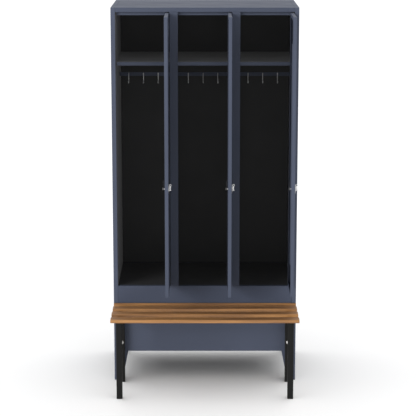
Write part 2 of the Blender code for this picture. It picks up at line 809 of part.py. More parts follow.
def latch_cam(name, latch, finish):
    """Arm on the spindle's inner end that swings behind the post when the knob is turned."""
    half = CAM_WIDTH / 2
    near = CAM_SETBACK
    far = CAM_SETBACK + CAM_THICKNESS
    arm = block((-half, near, -half), (half, far, CAM_LENGTH))
    round_edges(arm, edges_along(arm, "Y"), half - SHEET, BEND_STEPS + 1)
    made = add_object(name, arm, finish, latch)
    bore = circle((0, 0), SPINDLE_RADIUS + GAP, SMALL_SIDES)
    carve(made, prism(bore, "Y", near - OVERRUN, far + OVERRUN))
    return smooth(made)


def wood_bar(name, low, high, finish):
    """Planed bar with rounded edges."""
    bar = block(low, high)
    round_edges(bar, list(bar.edges), SLAT_EDGE_RADIUS, SLAT_STEPS)
    return smooth(add_object(name, bar, finish))


def square_tube(name, low, high, axis, finish):
    """Square steel tube with open ends, between two opposite corners."""
    body = block(low, high)
    round_edges(body, edges_along(body, axis), TUBE_CORNER, BEND_STEPS)
    made = add_object(name, body, finish)
    index = "XYZ".index(axis)
    inner_low = [value + TUBE_WALL for value in low]
    inner_high = [value - TUBE_WALL for value in high]
    inner_low[index] = low[index] - OVERRUN
    inner_high[index] = high[index] + OVERRUN
    return carve(made, block(inner_low, inner_high))


def leg_glide(centre_x, low_y):
    """Square plastic foot whose plug sits in the end of a leg."""
    cap = block((centre_x - TUBE / 2, low_y, 0), (centre_x + TUBE / 2, low_y + TUBE, GLIDE_HEIGHT))
    top = max(cap.faces, key=lambda face: face.calc_center_median().z)
    bmesh.ops.inset_individual(cap, faces=[top], thickness=TUBE_WALL + GAP, use_even_offset=True)
    grown = bmesh.ops.extrude_face_region(cap, geom=[top])
    moved = [item for item in grown["geom"] if isinstance(item, bmesh.types.BMVert)]
    bmesh.ops.translate(cap, verts=moved, vec=(0, 0, GLIDE_PLUG))
    if top.is_valid:
        bmesh.ops.delete(cap, geom=[top], context="FACES_ONLY")
    bmesh.ops.recalc_face_normals(cap, faces=cap.faces)
    return cap


def bench_frame(steel, plastic, zinc):
    """Welded tube frame: four legs, a rail on each side, and one rail across the back."""
    for side, word in ((-1, "left"), (1, "right")):
        low_x = side * LEG_CENTRE - TUBE / 2
        high_x = side * LEG_CENTRE + TUBE / 2
        foot = GLIDE_HEIGHT + GAP
        for place, low_y in (("front", FRONT_LEG_Y), ("rear", REAR_LEG_Y)):
            leg = square_tube(
                f"bench_leg_{place}_{word}",
                (low_x, low_y, foot), (high_x, low_y + TUBE, TUBE_TOP), "Z", steel,
            )
            if place == "rear":
                hole = circle((side * LEG_CENTRE, BOLT_HEIGHT), BOLT_RADIUS + GAP, SMALL_SIDES)
                carve(leg, prism(hole, "Y", low_y - OVERRUN, low_y + TUBE + OVERRUN))
            add_object(f"leg_glide_{place}_{word}", leg_glide(side * LEG_CENTRE, low_y), plastic)
        square_tube(
            f"bench_rail_{word}",
            (low_x, FRONT_LEG_Y + TUBE + GAP, TUBE_TOP - TUBE),
            (high_x, REAR_LEG_Y - GAP, TUBE_TOP), "Y", steel,
        )
    reach = LEG_CENTRE - TUBE / 2 - GAP
    square_tube(
        "bench_cross_rail",
        (-reach, REAR_LEG_Y, TUBE_TOP - TUBE), (reach, REAR_LEG_Y + TUBE, TUBE_TOP), "X", steel,
    )
    bench_fasteners(zinc, plastic)


def bench_fasteners(zinc, plastic):
    """Bolt, nut and spacer that hold each rear leg to the front of the base."""
    washer_y = REAR_LEG_Y - GAP
    head_y = washer_y - BOLT_WASHER_THICKNESS
    crown_y = head_y - BOLT_HEAD_THICKNESS
    nut_y = FRONT_Y + SHEET + GAP
    end_y = nut_y + NUT_THICKNESS + BOLT_END
    for side, word in ((-1, "left"), (1, "right")):
        centre = (side * LEG_CENTRE, BOLT_HEIGHT)
        profile = [
            (0, crown_y), (BOLT_HEAD_RADIUS / 2, crown_y),
            (BOLT_HEAD_RADIUS, head_y - BOLT_HEAD_THICKNESS / 2),
            (BOLT_HEAD_RADIUS, head_y), (BOLT_WASHER_RADIUS, head_y), (BOLT_WASHER_RADIUS, washer_y),
            (BOLT_RADIUS, washer_y), (BOLT_RADIUS, end_y), (0, end_y),
        ]
        smooth(add_object(f"bench_bolt_{word}", turned(profile, "Y", centre, SMALL_SIDES), zinc))
        nut = prism(circle(centre, BOLT_HEAD_RADIUS, HEX_SIDES), "Y", nut_y, nut_y + NUT_THICKNESS)
        bore = circle(centre, BOLT_RADIUS + GAP, SMALL_SIDES)
        bore_cut = prism(bore, "Y", nut_y - OVERRUN, nut_y + NUT_THICKNESS + OVERRUN)
        smooth(carve(add_object(f"bench_nut_{word}", nut, zinc), bore_cut))
        spacer = ring(
            "Y", centre, SPACER_RADIUS, BOLT_RADIUS + GAP,
            REAR_LEG_Y + TUBE + GAP, FRONT_Y - GAP, SMALL_SIDES,
        )
        smooth(add_object(f"bench_spacer_{word}", spacer, plastic))


def bench_top(wood):
    """Slats along the bench and the narrow batten against the locker."""
    names = [f"bench_slat_{place}" for place in ("front", "middle", "rear")]
    for row in range(SLAT_COUNT):
        low_y = BENCH_FRONT_Y + row * SLAT_PITCH
        wood_bar(
            names[row],
            (-HALF_WIDTH, low_y, SLAT_BOTTOM), (HALF_WIDTH, low_y + SLAT_WIDTH, SEAT_HEIGHT), wood,
        )
    wood_bar(
        "bench_batten", (-HALF_WIDTH, FRONT_Y - GAP - LEDGER_THICKNESS, SLAT_BOTTOM),
        (HALF_WIDTH, FRONT_Y - GAP, SEAT_HEIGHT), wood,
    )


def build():
    clear_scene()
    coat = material("blue_grey_coat", COAT_COLOUR, COAT_ROUGHNESS, COATED)
    inside = material("graphite_coat", GRAPHITE_COLOUR, COAT_ROUGHNESS, COATED)
    bright = material("bright_steel", STEEL_COLOUR, METAL_ROUGHNESS, BARE_METAL)
    zinc = material("zinc", ZINC_COLOUR, METAL_ROUGHNESS, BARE_METAL)
    black = material("black_coat", FRAME_COLOUR, COAT_ROUGHNESS, COATED)
    plastic = material("black_plastic", PLASTIC_COLOUR, PLASTIC_ROUGHNESS, COATED)
    oak = material("oiled_wood", WOOD_COLOUR, COAT_ROUGHNESS, COATED)

    side_panel("side_panel_left", -1, coat, True)
    side_panel("side_panel_right", 1, coat, False)
    top_panel(coat)
    front = base_panel("base_front_panel", FRONT_Y, 1, coat)
    for side in (-1, 1):
        bolt_hole(front, side)
    base_panel("base_back_panel", BACK_Y, -1, coat)
    floor_panel(inside)
    back_panel(inside)
    for index, word in enumerate(("left", "right")):
        partition_post(f"partition_post_{word}", post_centre(index), coat)
        partition_sheet(f"partition_sheet_{word}", post_centre(index), inside)
    for index, bay in enumerate(BAYS):
        hat_shelf(f"hat_shelf_{bay}", index, coat)
        hook_rail(f"hook_rail_{bay}", index, bright)
        hinge_pins(bay, index, zinc)
        hinge = empty(f"{bay}_hinge", (pivot_x(index), FRONT_Y + PIVOT_INSET, 0))
        hinge.rotation_euler.z = math.radians(DOOR_OPEN_DEG)
        latch_at = (DOOR_FREE_EDGE + LATCH_INSET, -PIVOT_INSET, LATCH_HEIGHT)
        latch = empty(f"{bay}_latch", latch_at, hinge)
        bpy.context.view_layer.update()
        door_pan(f"door_pan_{bay}", hinge, coat)
        door_stiffener(f"door_stiffener_{bay}", hinge, coat)
        latch_rosette(f"latch_rosette_{bay}", latch, bright)
        latch_knob(f"latch_knob_{bay}", latch, bright)
        latch_cam(f"latch_cam_{bay}", latch, zinc)
    bench_frame(black, plastic, zinc)
    bench_top(oak)


build()
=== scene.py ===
import json
import math

import bmesh
import bpy
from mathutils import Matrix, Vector

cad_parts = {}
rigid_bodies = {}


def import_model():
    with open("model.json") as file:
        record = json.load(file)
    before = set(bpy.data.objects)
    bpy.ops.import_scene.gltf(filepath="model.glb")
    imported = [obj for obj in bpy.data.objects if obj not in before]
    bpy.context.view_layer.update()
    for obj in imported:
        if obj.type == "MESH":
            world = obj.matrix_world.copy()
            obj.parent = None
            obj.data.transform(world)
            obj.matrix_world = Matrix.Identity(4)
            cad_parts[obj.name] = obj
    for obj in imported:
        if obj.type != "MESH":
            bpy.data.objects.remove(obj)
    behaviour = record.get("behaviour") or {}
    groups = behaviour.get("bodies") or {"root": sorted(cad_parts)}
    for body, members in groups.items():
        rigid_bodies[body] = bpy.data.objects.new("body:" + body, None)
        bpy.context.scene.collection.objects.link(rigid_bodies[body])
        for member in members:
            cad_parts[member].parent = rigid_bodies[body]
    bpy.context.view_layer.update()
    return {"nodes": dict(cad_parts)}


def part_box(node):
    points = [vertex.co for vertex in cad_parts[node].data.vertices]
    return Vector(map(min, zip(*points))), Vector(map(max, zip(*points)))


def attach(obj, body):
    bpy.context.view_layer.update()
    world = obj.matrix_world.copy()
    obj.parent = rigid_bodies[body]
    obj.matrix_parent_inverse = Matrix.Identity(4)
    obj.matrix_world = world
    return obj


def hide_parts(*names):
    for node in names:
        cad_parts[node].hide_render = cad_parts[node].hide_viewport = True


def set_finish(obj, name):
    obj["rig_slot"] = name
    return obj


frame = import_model()
nodes = frame["nodes"]
bays = ("left", "middle", "right")

# The room is a plain studio: a wide pale floor, a white surround, wide soft lights from the
# front left, the right and above, one for the floor alone and a weak fill for the bays. The
# camera stands 7.6 m before the locker and 2.45 m up, and looks a little down at it.
bpy.context.scene.view_settings.view_transform = "Standard"
camera_place = (0.0, -7.6693, 2.4509)
camera_tilt = 11.74
camera_lens = 137.2
camera_shift = 0.0075
surround_glow = 0.55
floor_size = 140.0
floor_pale = (0.93, 0.93, 0.93, 1.0)


def finish_of(name):
    """A new finish, with its node tree and its shader."""
    made = bpy.data.materials.new(name)
    made.use_nodes = True
    return made, made.node_tree, made.node_tree.nodes["Principled BSDF"]


def soft_light(name, towards, spread, strength):
    """A wide, even light that shines along a direction."""
    data = bpy.data.lights.new(name, "SUN")
    data.angle = math.radians(spread)
    data.energy = strength
    lamp = bpy.data.objects.new(name, data)
    bpy.context.scene.collection.objects.link(lamp)
    lamp.rotation_euler = Vector(towards).to_track_quat("-Z", "Y").to_euler()
    return lamp


surround = bpy.data.worlds.new("white_surround")
surround.use_nodes = True
sky = surround.node_tree.nodes["Background"]
sky.inputs["Color"].default_value = (1.0, 1.0, 1.0, 1.0)
seen = surround.node_tree.nodes.new("ShaderNodeMapRange")
seen.inputs["To Min"].default_value = surround_glow
seen.inputs["To Max"].default_value = 1.0
rays = surround.node_tree.nodes.new("ShaderNodeLightPath")
surround.node_tree.links.new(rays.outputs["Is Camera Ray"], seen.inputs["Value"])
surround.node_tree.links.new(seen.outputs["Result"], sky.inputs["Strength"])
bpy.context.scene.world = surround
key_light = soft_light("key_light", (1.0, 1.0, -0.3), 36.0, 2.9)
side_light = soft_light("side_light", (-1.0, 0.4, -0.2), 50.0, 1.5)
back_light = soft_light("back_light", (0.05, -0.5, -1.0), 36.0, 1.9)
floor_light = soft_light("floor_light", (0.0, 0.05, -1.0), 120.0, 2.2)

for item in list(bpy.context.scene.objects):
    item.select_set(False)
bpy.ops.mesh.primitive_plane_add(size=floor_size)
floor = bpy.context.object
floor.name = "studio_floor"
floor_finish, _, floor_shader = finish_of("studio_floor")
floor_shader.inputs["Base Color"].default_value = floor_pale
floor_shader.inputs["Roughness"].default_value = 0.9
floor_shader.inputs["Specular IOR Level"].default_value = 0.1
floor.data.materials.append(floor_finish)
fill_light = soft_light("fill_light", (-0.5, 1.0, -0.35), 20.0, 0.6)
fill_light.data.use_shadow = False
bay_pieces = bpy.data.collections.new("bay_pieces")
fill_light.light_linking.receiver_collection = bay_pieces


def set_apart(lamp, item, state):
    """Let a lamp light one thing alone, or everything but it."""
    group = lamp.light_linking.receiver_collection
    if group is None:
        group = bpy.data.collections.new(f"{lamp.name}_reach")
        lamp.light_linking.receiver_collection = group
    group.objects.link(item)
    group.collection_objects[-1].light_linking.link_state = state


for lamp in (key_light, side_light, back_light):
    set_apart(lamp, floor, "EXCLUDE")
set_apart(floor_light, floor, "INCLUDE")

camera = bpy.data.objects.new("camera", bpy.data.cameras.new("camera"))
bpy.context.scene.collection.objects.link(camera)
camera.location = camera_place
camera.rotation_euler = (math.radians(90.0 - camera_tilt), 0.0, 0.0)
camera.data.lens = camera_lens
camera.data.shift_x = camera_shift
bpy.context.scene.camera = camera

# Powder coat: slate blue outside, graphite inside the bays. It is sprayed on and baked,
# so its surface has a fine orange peel, it pools a little lighter or darker over an arm's
# length, and it is lighter on its folds, partly where bags and hands rub it thin and partly
# as a painted highlight along the edges.
cabinet_blue = (0.053, 0.063, 0.094, 1.0)
worn_highlit_blue = (0.085, 0.097, 0.130, 1.0)
graphite = (0.190, 0.191, 0.193, 1.0)
worn_highlit_graphite = (0.250, 0.250, 0.252, 1.0)
# The back and the floor of the bays take much darker copies of the graphite: painted shade.
back_shade = (0.0135, 0.0137, 0.0142, 1.0)
back_shade_edge = (0.030, 0.030, 0.031, 1.0)
floor_shade = (0.036, 0.036, 0.037, 1.0)


def add_node(tree, kind, **settings):
    """A new shader node with its settings."""
    made = tree.nodes.new("ShaderNode" + kind)
    for key, value in settings.items():
        setattr(made, key, value)
    return made


def new_group(name, inputs, outputs):
    """An empty shader group with named sockets."""
    group = bpy.data.node_groups.new(name, "ShaderNodeTree")
    for label, kind, value in inputs:
        socket = group.interface.new_socket(name=label, in_out="INPUT", socket_type=kind)
        socket.default_value = value
    for label, kind in outputs:
        group.interface.new_socket(name=label, in_out="OUTPUT", socket_type=kind)
    return group, group.nodes.new("NodeGroupInput"), group.nodes.new("NodeGroupOutput")


def noise(tree, scale, detail, vector):
    """A noise of fixed scale over a vector."""
    made = add_node(tree, "TexNoise")
    made.inputs["Scale"].default_value = scale
    made.inputs["Detail"].default_value = detail
    tree.links.new(vector, made.inputs["Vector"])
    return made.outputs["Fac"]


def remap(tree, value, from_low, from_high, to_low, to_high):
    """Stretch a value from one range to another."""
    made = add_node(tree, "MapRange")
    made.inputs["From Min"].default_value = from_low
    made.inputs["From Max"].default_value = from_high
    made.inputs["To Min"].default_value = to_low
    made.inputs["To Max"].default_value = to_high
    tree.links.new(value, made.inputs["Value"])
    return made.outputs["Result"]


def blended(tree, share, first, second):
    """Mix two colours, each a socket or a plain colour, by a mask."""
    made = add_node(tree, "Mix", data_type="RGBA")
    sockets = (made.inputs[0], made.inputs[6], made.inputs[7])
    for socket, value in zip(sockets, (share, first, second)):
        if isinstance(value, bpy.types.NodeSocket):
            tree.links.new(value, socket)
        else:
            socket.default_value = value
    return made.outputs[2]


sprayed_coat, coat_in, coat_out = new_group(
    "sprayed_coat",
    [("Colour", "NodeSocketColor", cabinet_blue), ("Roughness", "NodeSocketFloat", 0.5),
     ("Peel", "NodeSocketFloat", 0.1)],
    [("Colour", "NodeSocketColor"), ("Roughness", "NodeSocketFloat"),
     ("Normal", "NodeSocketVector")],
)
coat_at = add_node(sprayed_coat, "TexCoord").outputs["Object"]
cloud = remap(sprayed_coat, noise(sprayed_coat, 2.2, 3.0, coat_at), 0.3, 0.7, 0.93, 1.07)
speck = remap(sprayed_coat, noise(sprayed_coat, 420.0, 2.0, coat_at), 0.3, 0.7, 0.94, 1.06)
tone = add_node(sprayed_coat, "Math", operation="MULTIPLY")
sprayed_coat.links.new(cloud, tone.inputs[0])
sprayed_coat.links.new(speck, tone.inputs[1])
toned = add_node(sprayed_coat, "VectorMath", operation="SCALE")
sprayed_coat.links.new(coat_in.outputs["Colour"], toned.inputs[0])
sprayed_coat.links.new(tone.outputs[0], toned.inputs["Scale"])
sprayed_coat.links.new(toned.outputs[0], coat_out.inputs["Colour"])
smear = remap(sprayed_coat, noise(sprayed_coat, 9.0, 4.0, coat_at), 0.3, 0.7, -0.05, 0.05)
dullness = add_node(sprayed_coat, "Math", operation="ADD")
sprayed_coat.links.new(smear, dullness.inputs[0])
sprayed_coat.links.new(coat_in.outputs["Roughness"], dullness.inputs[1])
sprayed_coat.links.new(dullness.outputs[0], coat_out.inputs["Roughness"])
peel = add_node(sprayed_coat, "Bump")
peel.inputs["Distance"].default_value = 0.0004
sprayed_coat.links.new(noise(sprayed_coat, 650.0, 2.0, coat_at), peel.inputs["Height"])
sprayed_coat.links.new(coat_in.outputs["Peel"], peel.inputs["Strength"])
sprayed_coat.links.new(peel.outputs["Normal"], coat_out.inputs["Normal"])

# Lighter edges on every fold: partly worn coat, partly a painted highlight along the rims.
worn_highlit_edge, edge_in, edge_out = new_group(
    "worn_highlit_edge",
    [("Reach", "NodeSocketFloat", 0.002), ("Patchiness", "NodeSocketFloat", 18.0),
     ("Amount", "NodeSocketFloat", 0.6)],
    [("Mask", "NodeSocketFloat")],
)
softened = add_node(worn_highlit_edge, "Bevel", samples=6)
worn_highlit_edge.links.new(edge_in.outputs["Reach"], softened.inputs["Radius"])
facing = add_node(worn_highlit_edge, "VectorMath", operation="DOT_PRODUCT")
worn_highlit_edge.links.new(softened.outputs["Normal"], facing.inputs[0])
worn_highlit_edge.links.new(add_node(worn_highlit_edge, "NewGeometry").outputs["Normal"], facing.inputs[1])
near_edge = remap(worn_highlit_edge, facing.outputs["Value"], 0.995, 0.80, 0.0, 1.0)
patches = add_node(worn_highlit_edge, "TexNoise")
patches.inputs["Detail"].default_value = 4.0
edge_at = add_node(worn_highlit_edge, "TexCoord").outputs["Object"]
worn_highlit_edge.links.new(edge_at, patches.inputs["Vector"])
worn_highlit_edge.links.new(edge_in.outputs["Patchiness"], patches.inputs["Scale"])
patchy = remap(worn_highlit_edge, patches.outputs["Fac"], 0.38, 0.66, 0.15, 1.0)
wear_and_highlight = add_node(worn_highlit_edge, "Math", operation="MULTIPLY")
worn_highlit_edge.links.new(near_edge, wear_and_highlight.inputs[0])
worn_highlit_edge.links.new(patchy, wear_and_highlight.inputs[1])
amount = add_node(worn_highlit_edge, "Math", operation="MULTIPLY")
worn_highlit_edge.links.new(wear_and_highlight.outputs[0], amount.inputs[0])
worn_highlit_edge.links.new(edge_in.outputs["Amount"], amount.inputs[1])
worn_highlit_edge.links.new(amount.outputs[0], edge_out.inputs["Mask"])


def coat_finish(name, colour, worn_highlit_colour, roughness, wear_and_highlight_amount, gloss=0.2):
    """Powder coat of one colour, with its peel and its lighter edges, partly worn and partly a
    painted highlight.
    """
    made, tree, shader = finish_of(name)
    coat = add_node(tree, "Group", node_tree=sprayed_coat)
    coat.inputs["Colour"].default_value = colour
    coat.inputs["Roughness"].default_value = roughness
    edge = add_node(tree, "Group", node_tree=worn_highlit_edge)
    edge.inputs["Amount"].default_value = wear_and_highlight_amount
    colours = blended(tree, edge.outputs["Mask"], coat.outputs["Colour"], worn_highlit_colour)
    tree.links.new(colours, shader.inputs["Base Color"])
    tree.links.new(coat.outputs["Roughness"], shader.inputs["Roughness"])
    tree.links.new(coat.outputs["Normal"], shader.inputs["Normal"])
    shader.inputs["Specular IOR Level"].default_value = gloss
    return made


cabinet_coat = coat_finish("cabinet_coat", cabinet_blue, worn_highlit_blue, 0.50, 0.6)
interior_coat = coat_finish("interior_coat", graphite, worn_highlit_graphite, 0.55, 0.3)
# The back and floor coats are painted shade, far darker copies of the interior graphite.
back_shade_coat = coat_finish("back_shade_coat", back_shade, back_shade_edge, 0.55, 0.3)
floor_shade_coat = coat_finish("floor_shade_coat", floor_shade, graphite, 0.60, 0.4)

# Side walls: double-skinned steel panels, 21.5 mm thick, folded from 1 mm sheet and welded.
# Each stands on the floor on two feet that a tapered cut-out leaves. The outer skin and the
# front edge are slate blue, and the skin inside the bay is graphite.
sheet = 0.001
bend = 0.0018
gap = 0.0003
tiny = 0.0001
overrun = 0.004
crown = 0.150
foot_top = 0.069
foot_lean = 0.029
window_margin = 0.035
window_low = 0.165
window_top = 0.4495
front_edge = 0.021
strike_near = -0.0712
strike_far = -0.0658
strike_low = 1.0043
strike_top = 1.0406


def clear_selection():
    """Close what is open for editing and deselect everything."""
    if bpy.context.mode != "OBJECT":
        bpy.ops.object.mode_set(mode="OBJECT")
    for item in bpy.context.scene.objects:
        item.select_set(False)


def begin(name, size):
    """Name the primitive just added, settle its size in its mesh and open it for editing."""
    piece = bpy.context.object
    piece.name = name
    piece.data.name = name
    piece.scale = size
    bpy.ops.object.transform_apply(location=True, rotation=True, scale=True)
    bpy.ops.object.mode_set(mode="EDIT")
    return piece


def middle(part):
    """Middle of an edge or a face."""
    return sum((corner.co for corner in part.verts), Vector()) / len(part.verts)


def pick(kind, test):
    """Select the corners, edges or faces of the open piece that pass a test."""
    bpy.ops.mesh.select_mode(type=kind)
    bpy.ops.mesh.select_all(action="DESELECT")
    mesh = bpy.context.object.data
    shape = bmesh.from_edit_mesh(mesh)
    for part in {"VERT": shape.verts, "EDGE": shape.edges, "FACE": shape.faces}[kind]:
        if test(part):
            part.select_set(True)
    shape.select_flush_mode()
    bmesh.update_edit_mesh(mesh)


def is_fold(edge, angle=30.0):
    """Whether two faces meet at an edge at more than an angle."""
    return len(edge.link_faces) == 2 and edge.calc_face_angle() > math.radians(angle)


def runs_along(edge, axis):
    """Whether an edge is parallel to an axis."""
    run = (edge.verts[1].co - edge.verts[0].co).normalized()
    return abs(run[axis]) > 0.999


def round_folds(test, radius, steps):
    """Round the edges of the open piece that pass a test."""
    pick("EDGE", test)
    bpy.ops.mesh.bevel(
        offset=radius, segments=steps, profile=0.5, affect="EDGES", clamp_overlap=True
    )


def turn_outwards():
    """Point all faces of the open piece outwards."""
    bpy.ops.mesh.select_all(action="SELECT")
    bpy.ops.mesh.normals_make_consistent(inside=False)


def apply_step(piece, kind, **settings):
    """Put a modifier on a piece and apply it."""
    if piece.mode == "EDIT":
        bpy.ops.object.mode_set(mode="OBJECT")
    clear_selection()
    piece.select_set(True)
    bpy.context.view_layer.objects.active = piece
    step = piece.modifiers.new(kind.lower(), kind)
    for key, value in settings.items():
        setattr(step, key, value)
    bpy.ops.object.modifier_apply(modifier=step.name)


def thicken(piece, thickness):
    """Give a sheet its thickness, on the side away from its normals."""
    apply_step(piece, "SOLIDIFY", thickness=thickness, offset=-1.0, use_even_offset=True)


def add_block(name, low, high):
    """A cube between two opposite corners, open for editing."""
    clear_selection()
    low, high = Vector(low), Vector(high)
    bpy.ops.mesh.primitive_cube_add(size=1.0, location=(low + high) / 2)
    return begin(name, high - low)


def cut_away(piece, cutter):
    """Cut one piece's shape out of another, and discard it."""
    if cutter.mode == "EDIT":
        bpy.ops.object.mode_set(mode="OBJECT")
    apply_step(piece, "BOOLEAN", operation="DIFFERENCE", solver="EXACT", object=cutter)
    bpy.data.objects.remove(cutter, do_unlink=True)


def settle(piece, finishes, body, slot_name, node):
    """Shade a finished piece and give it its finishes, its body and the node that it replaces."""
    if piece.mode == "EDIT":
        bpy.ops.object.mode_set(mode="OBJECT")
    clear_selection()
    piece.select_set(True)
    bpy.context.view_layer.objects.active = piece
    bpy.ops.object.shade_smooth_by_angle(angle=math.radians(35.0))
    apply_step(piece, "WEIGHTED_NORMAL", keep_sharp=True, weight=100)
    if not piece.data.materials:
        for finish in finishes:
            piece.data.materials.append(finish)
    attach(piece, body)
    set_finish(piece, slot_name)
    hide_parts(node)
    return piece


def copy_of(piece, name, body, node, shift=(0, 0, 0), mirrored=False):
    """A copy with its own mesh, moved or mirrored to its place."""
    twin = bpy.data.objects.new(name, piece.data.copy())
    twin.data.name = name
    bpy.context.scene.collection.objects.link(twin)
    clear_selection()
    twin.select_set(True)
    bpy.context.view_layer.objects.active = twin
    twin.location = shift
    if mirrored:
        twin.scale = (-1.0, 1.0, 1.0)
    bpy.ops.object.transform_apply(location=True, rotation=True, scale=True)
    if mirrored:
        bpy.ops.object.mode_set(mode="EDIT")
        turn_outwards()
        bpy.ops.object.mode_set(mode="OBJECT")
    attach(twin, body)
    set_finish(twin, piece["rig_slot"])
    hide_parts(node)
    return twin


def cut_footing(axis, near, far):
    """Cut the opening between two feet out of the flat plate that is open for editing."""
    across = Vector((axis == 0, axis == 1, 0))
    planes = (((0, 0, crown), (0, 0, 1)), (across * near, across), (across * far, across))
    for point, normal in planes:
        bpy.ops.mesh.select_all(action="SELECT")
        bpy.ops.mesh.bisect(plane_co=point, plane_no=normal)
    pick("FACE", lambda face: middle(face).z < crown and near < middle(face)[axis] < far)
    bpy.ops.mesh.delete(type="FACE")
    for edge_place, way in ((near, -1), (far, 1)):
        pick("VERT", lambda corner: (
            corner.co.z < tiny and abs(corner.co[axis] - edge_place) < tiny
        ))
        bpy.ops.transform.translate(value=across * way * foot_lean)
    bpy.ops.mesh.select_all(action="SELECT")
    bpy.ops.mesh.dissolve_limited(angle_limit=math.radians(1.0))


low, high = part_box("side_panel_left")
clear_selection()
bpy.ops.mesh.primitive_plane_add(
    size=1.0, location=(low.x, (low.y + high.y) / 2, high.z / 2),
    rotation=(0.0, math.radians(-90.0), 0.0)
)
wall = begin("side_wall_left", (high.z, high.y - low.y, 1.0))
cut_footing(1, low.y + foot_top, high.y - foot_top)
bpy.ops.mesh.select_all(action="SELECT")
bpy.ops.mesh.extrude_region_move(TRANSFORM_OT_translate={"value": (high.x - low.x, 0, 0)})
turn_outwards()
round_folds(is_fold, bend, 3)
thicken(wall, sheet)
inner = high.x
cut_away(wall, add_block(
    "base_window", (inner - overrun, low.y + window_margin, window_low),
    (inner + overrun, high.y - window_margin, window_top)
))
cut_away(wall, add_block(
    "strike_slot", (inner - overrun, strike_near, strike_low),
    (inner + overrun, strike_far, strike_top)
))
settle(wall, [cabinet_coat, interior_coat], "carcass", "cabinet_coat", "side_panel_left")
for face in wall.data.polygons:
    if face.normal.x > 0.9 and face.center.y > low.y + front_edge:
        face.material_index = 1
copy_of(wall, "side_wall_right", "carcass", "side_panel_right", mirrored=True)

# Roof: one sheet folded over into a box edge 21.5 mm tall at the front and at the back. In
# front it goes on inwards above the doorways and turns down as the doors' stop lip.
fascia = 0.0215
frame_depth = 0.020
lip_drop = 0.016
lip_relief = 0.0055


def fold_sheet(name, start, axis, length, outward, flats, radius):
    """Draw a sheet out from one edge, flat by flat, and round its folds."""
    clear_selection()
    bpy.ops.mesh.primitive_plane_add(size=1.0, location=(0, 0.5, 0))
    piece = begin(name, (length, 1.0, 1.0))
    pick("VERT", lambda corner: corner.co.y > 0.5)
    bpy.ops.mesh.delete(type="VERT")
    bpy.ops.mesh.select_all(action="SELECT")
    if axis == 2:
        bpy.ops.transform.rotate(
            value=math.radians(90.0), orient_axis="Y", center_override=(0, 0, 0)
        )
    bpy.ops.transform.translate(value=start)
    for flat in flats:
        bpy.ops.mesh.extrude_region_move(TRANSFORM_OT_translate={"value": flat})
    shape = bmesh.from_edit_mesh(piece.data)
    shape.faces.ensure_lookup_table()
    first_flat = min(shape.faces, key=lambda face: (middle(face) - Vector(start)).length)
    first_flat.normal_update()
    bpy.ops.mesh.select_all(action="SELECT")
    if first_flat.normal.dot(Vector(outward)) < 0:
        bpy.ops.mesh.flip_normals()
    round_folds(lambda edge: runs_along(edge, axis) and is_fold(edge), radius, 3)
    return piece


low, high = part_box("top_panel")
length = high.x - low.x
roof = fold_sheet(
    "roof", (0, low.y + frame_depth, high.z - fascia - lip_drop), 0, length, (0, -1, 0),
    [(0, 0, lip_drop), (0, -frame_depth, 0), (0, 0, fascia), (0, high.y - low.y, 0),
     (0, 0, -fascia), (0, -frame_depth, 0)],
    bend,
)
thicken(roof, sheet)
for end_x in (-length / 2, length / 2):
    cut_away(roof, add_block(
        "lip_relief", (end_x - lip_relief, low.y + frame_depth - overrun, low.z - overrun),
        (end_x + lip_relief, low.y + frame_depth + overrun, high.z - fascia - gap)
    ))
settle(roof, [cabinet_coat], "carcass", "cabinet_coat", "top_panel")

# Base panels: one pressed sheet in front and one at the back, below the bays. Each has its
# top, its ends and the edge of its cut-out folded in, and its feet line up with the walls'.
cabinet_half = 0.450
base_flange = 0.0197
for node, face_y, inward in (("base_front_panel", low.y, 1), ("base_back_panel", high.y, -1)):
    low_corner, high_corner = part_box(node)
    clear_selection()
    bpy.ops.mesh.primitive_plane_add(
        size=1.0, location=(0.0, face_y, high_corner.z / 2),
        rotation=(math.radians(90.0), 0.0, 0.0)
    )
    plate_size = (high_corner.x - low_corner.x, high_corner.z, 1.0)
    base = begin(node.replace("panel", "plate"), plate_size)
    cut_footing(0, foot_top - cabinet_half, cabinet_half - foot_top)
    bpy.ops.mesh.select_all(action="SELECT")
    bpy.ops.mesh.extrude_region_move(TRANSFORM_OT_translate={"value": (0, inward * base_flange, 0)})
    turn_outwards()
    pick("FACE", lambda face: face.normal.y * inward > 0.9)
    bpy.ops.mesh.delete(type="FACE")
    round_folds(is_fold, bend, 3)
    thicken(base, sheet)
    settle(base, [cabinet_coat], "carcass", "cabinet_coat", node)

# Floor and back of the bays: shallow trays of 1 mm sheet with their rims folded away from
# the room that they close. Both are painted far darker than the walls inside, and the back
# darkest, as painted shade for the shade that falls deep in the bays.
trays = (("floor_panel", "bay_floor", (0, 0, -1)), ("back_panel", "bay_back", (0, 1, 0)))
for node, name, mouth in trays:
    tray = add_block(name, *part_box(node))
    pick("FACE", lambda face: face.normal.dot(Vector(mouth)) > 0.9)
    bpy.ops.mesh.delete(type="FACE")
    round_folds(is_fold, bend, 3)
    thicken(tray, sheet)
    tray_coat = back_shade_coat if node == "back_panel" else floor_shade_coat
    settle(tray, [tray_coat, cabinet_coat], "carcass", "interior_coat", node)
    for face in tray.data.polygons:
        if node == "back_panel" and face.normal.y > -0.5:
            face.material_index = 1

# Posts between the doorways: folded channels with their returns almost meeting behind, and
# the thin partition wall slots into each from the back.
post_half = 0.020
post_depth = 0.0197
slot_half = 0.0011


def dress(node, finish):
    """Give a CAD node that stays as it is its finish."""
    nodes[node].data.materials.clear()
    nodes[node].data.materials.append(finish)


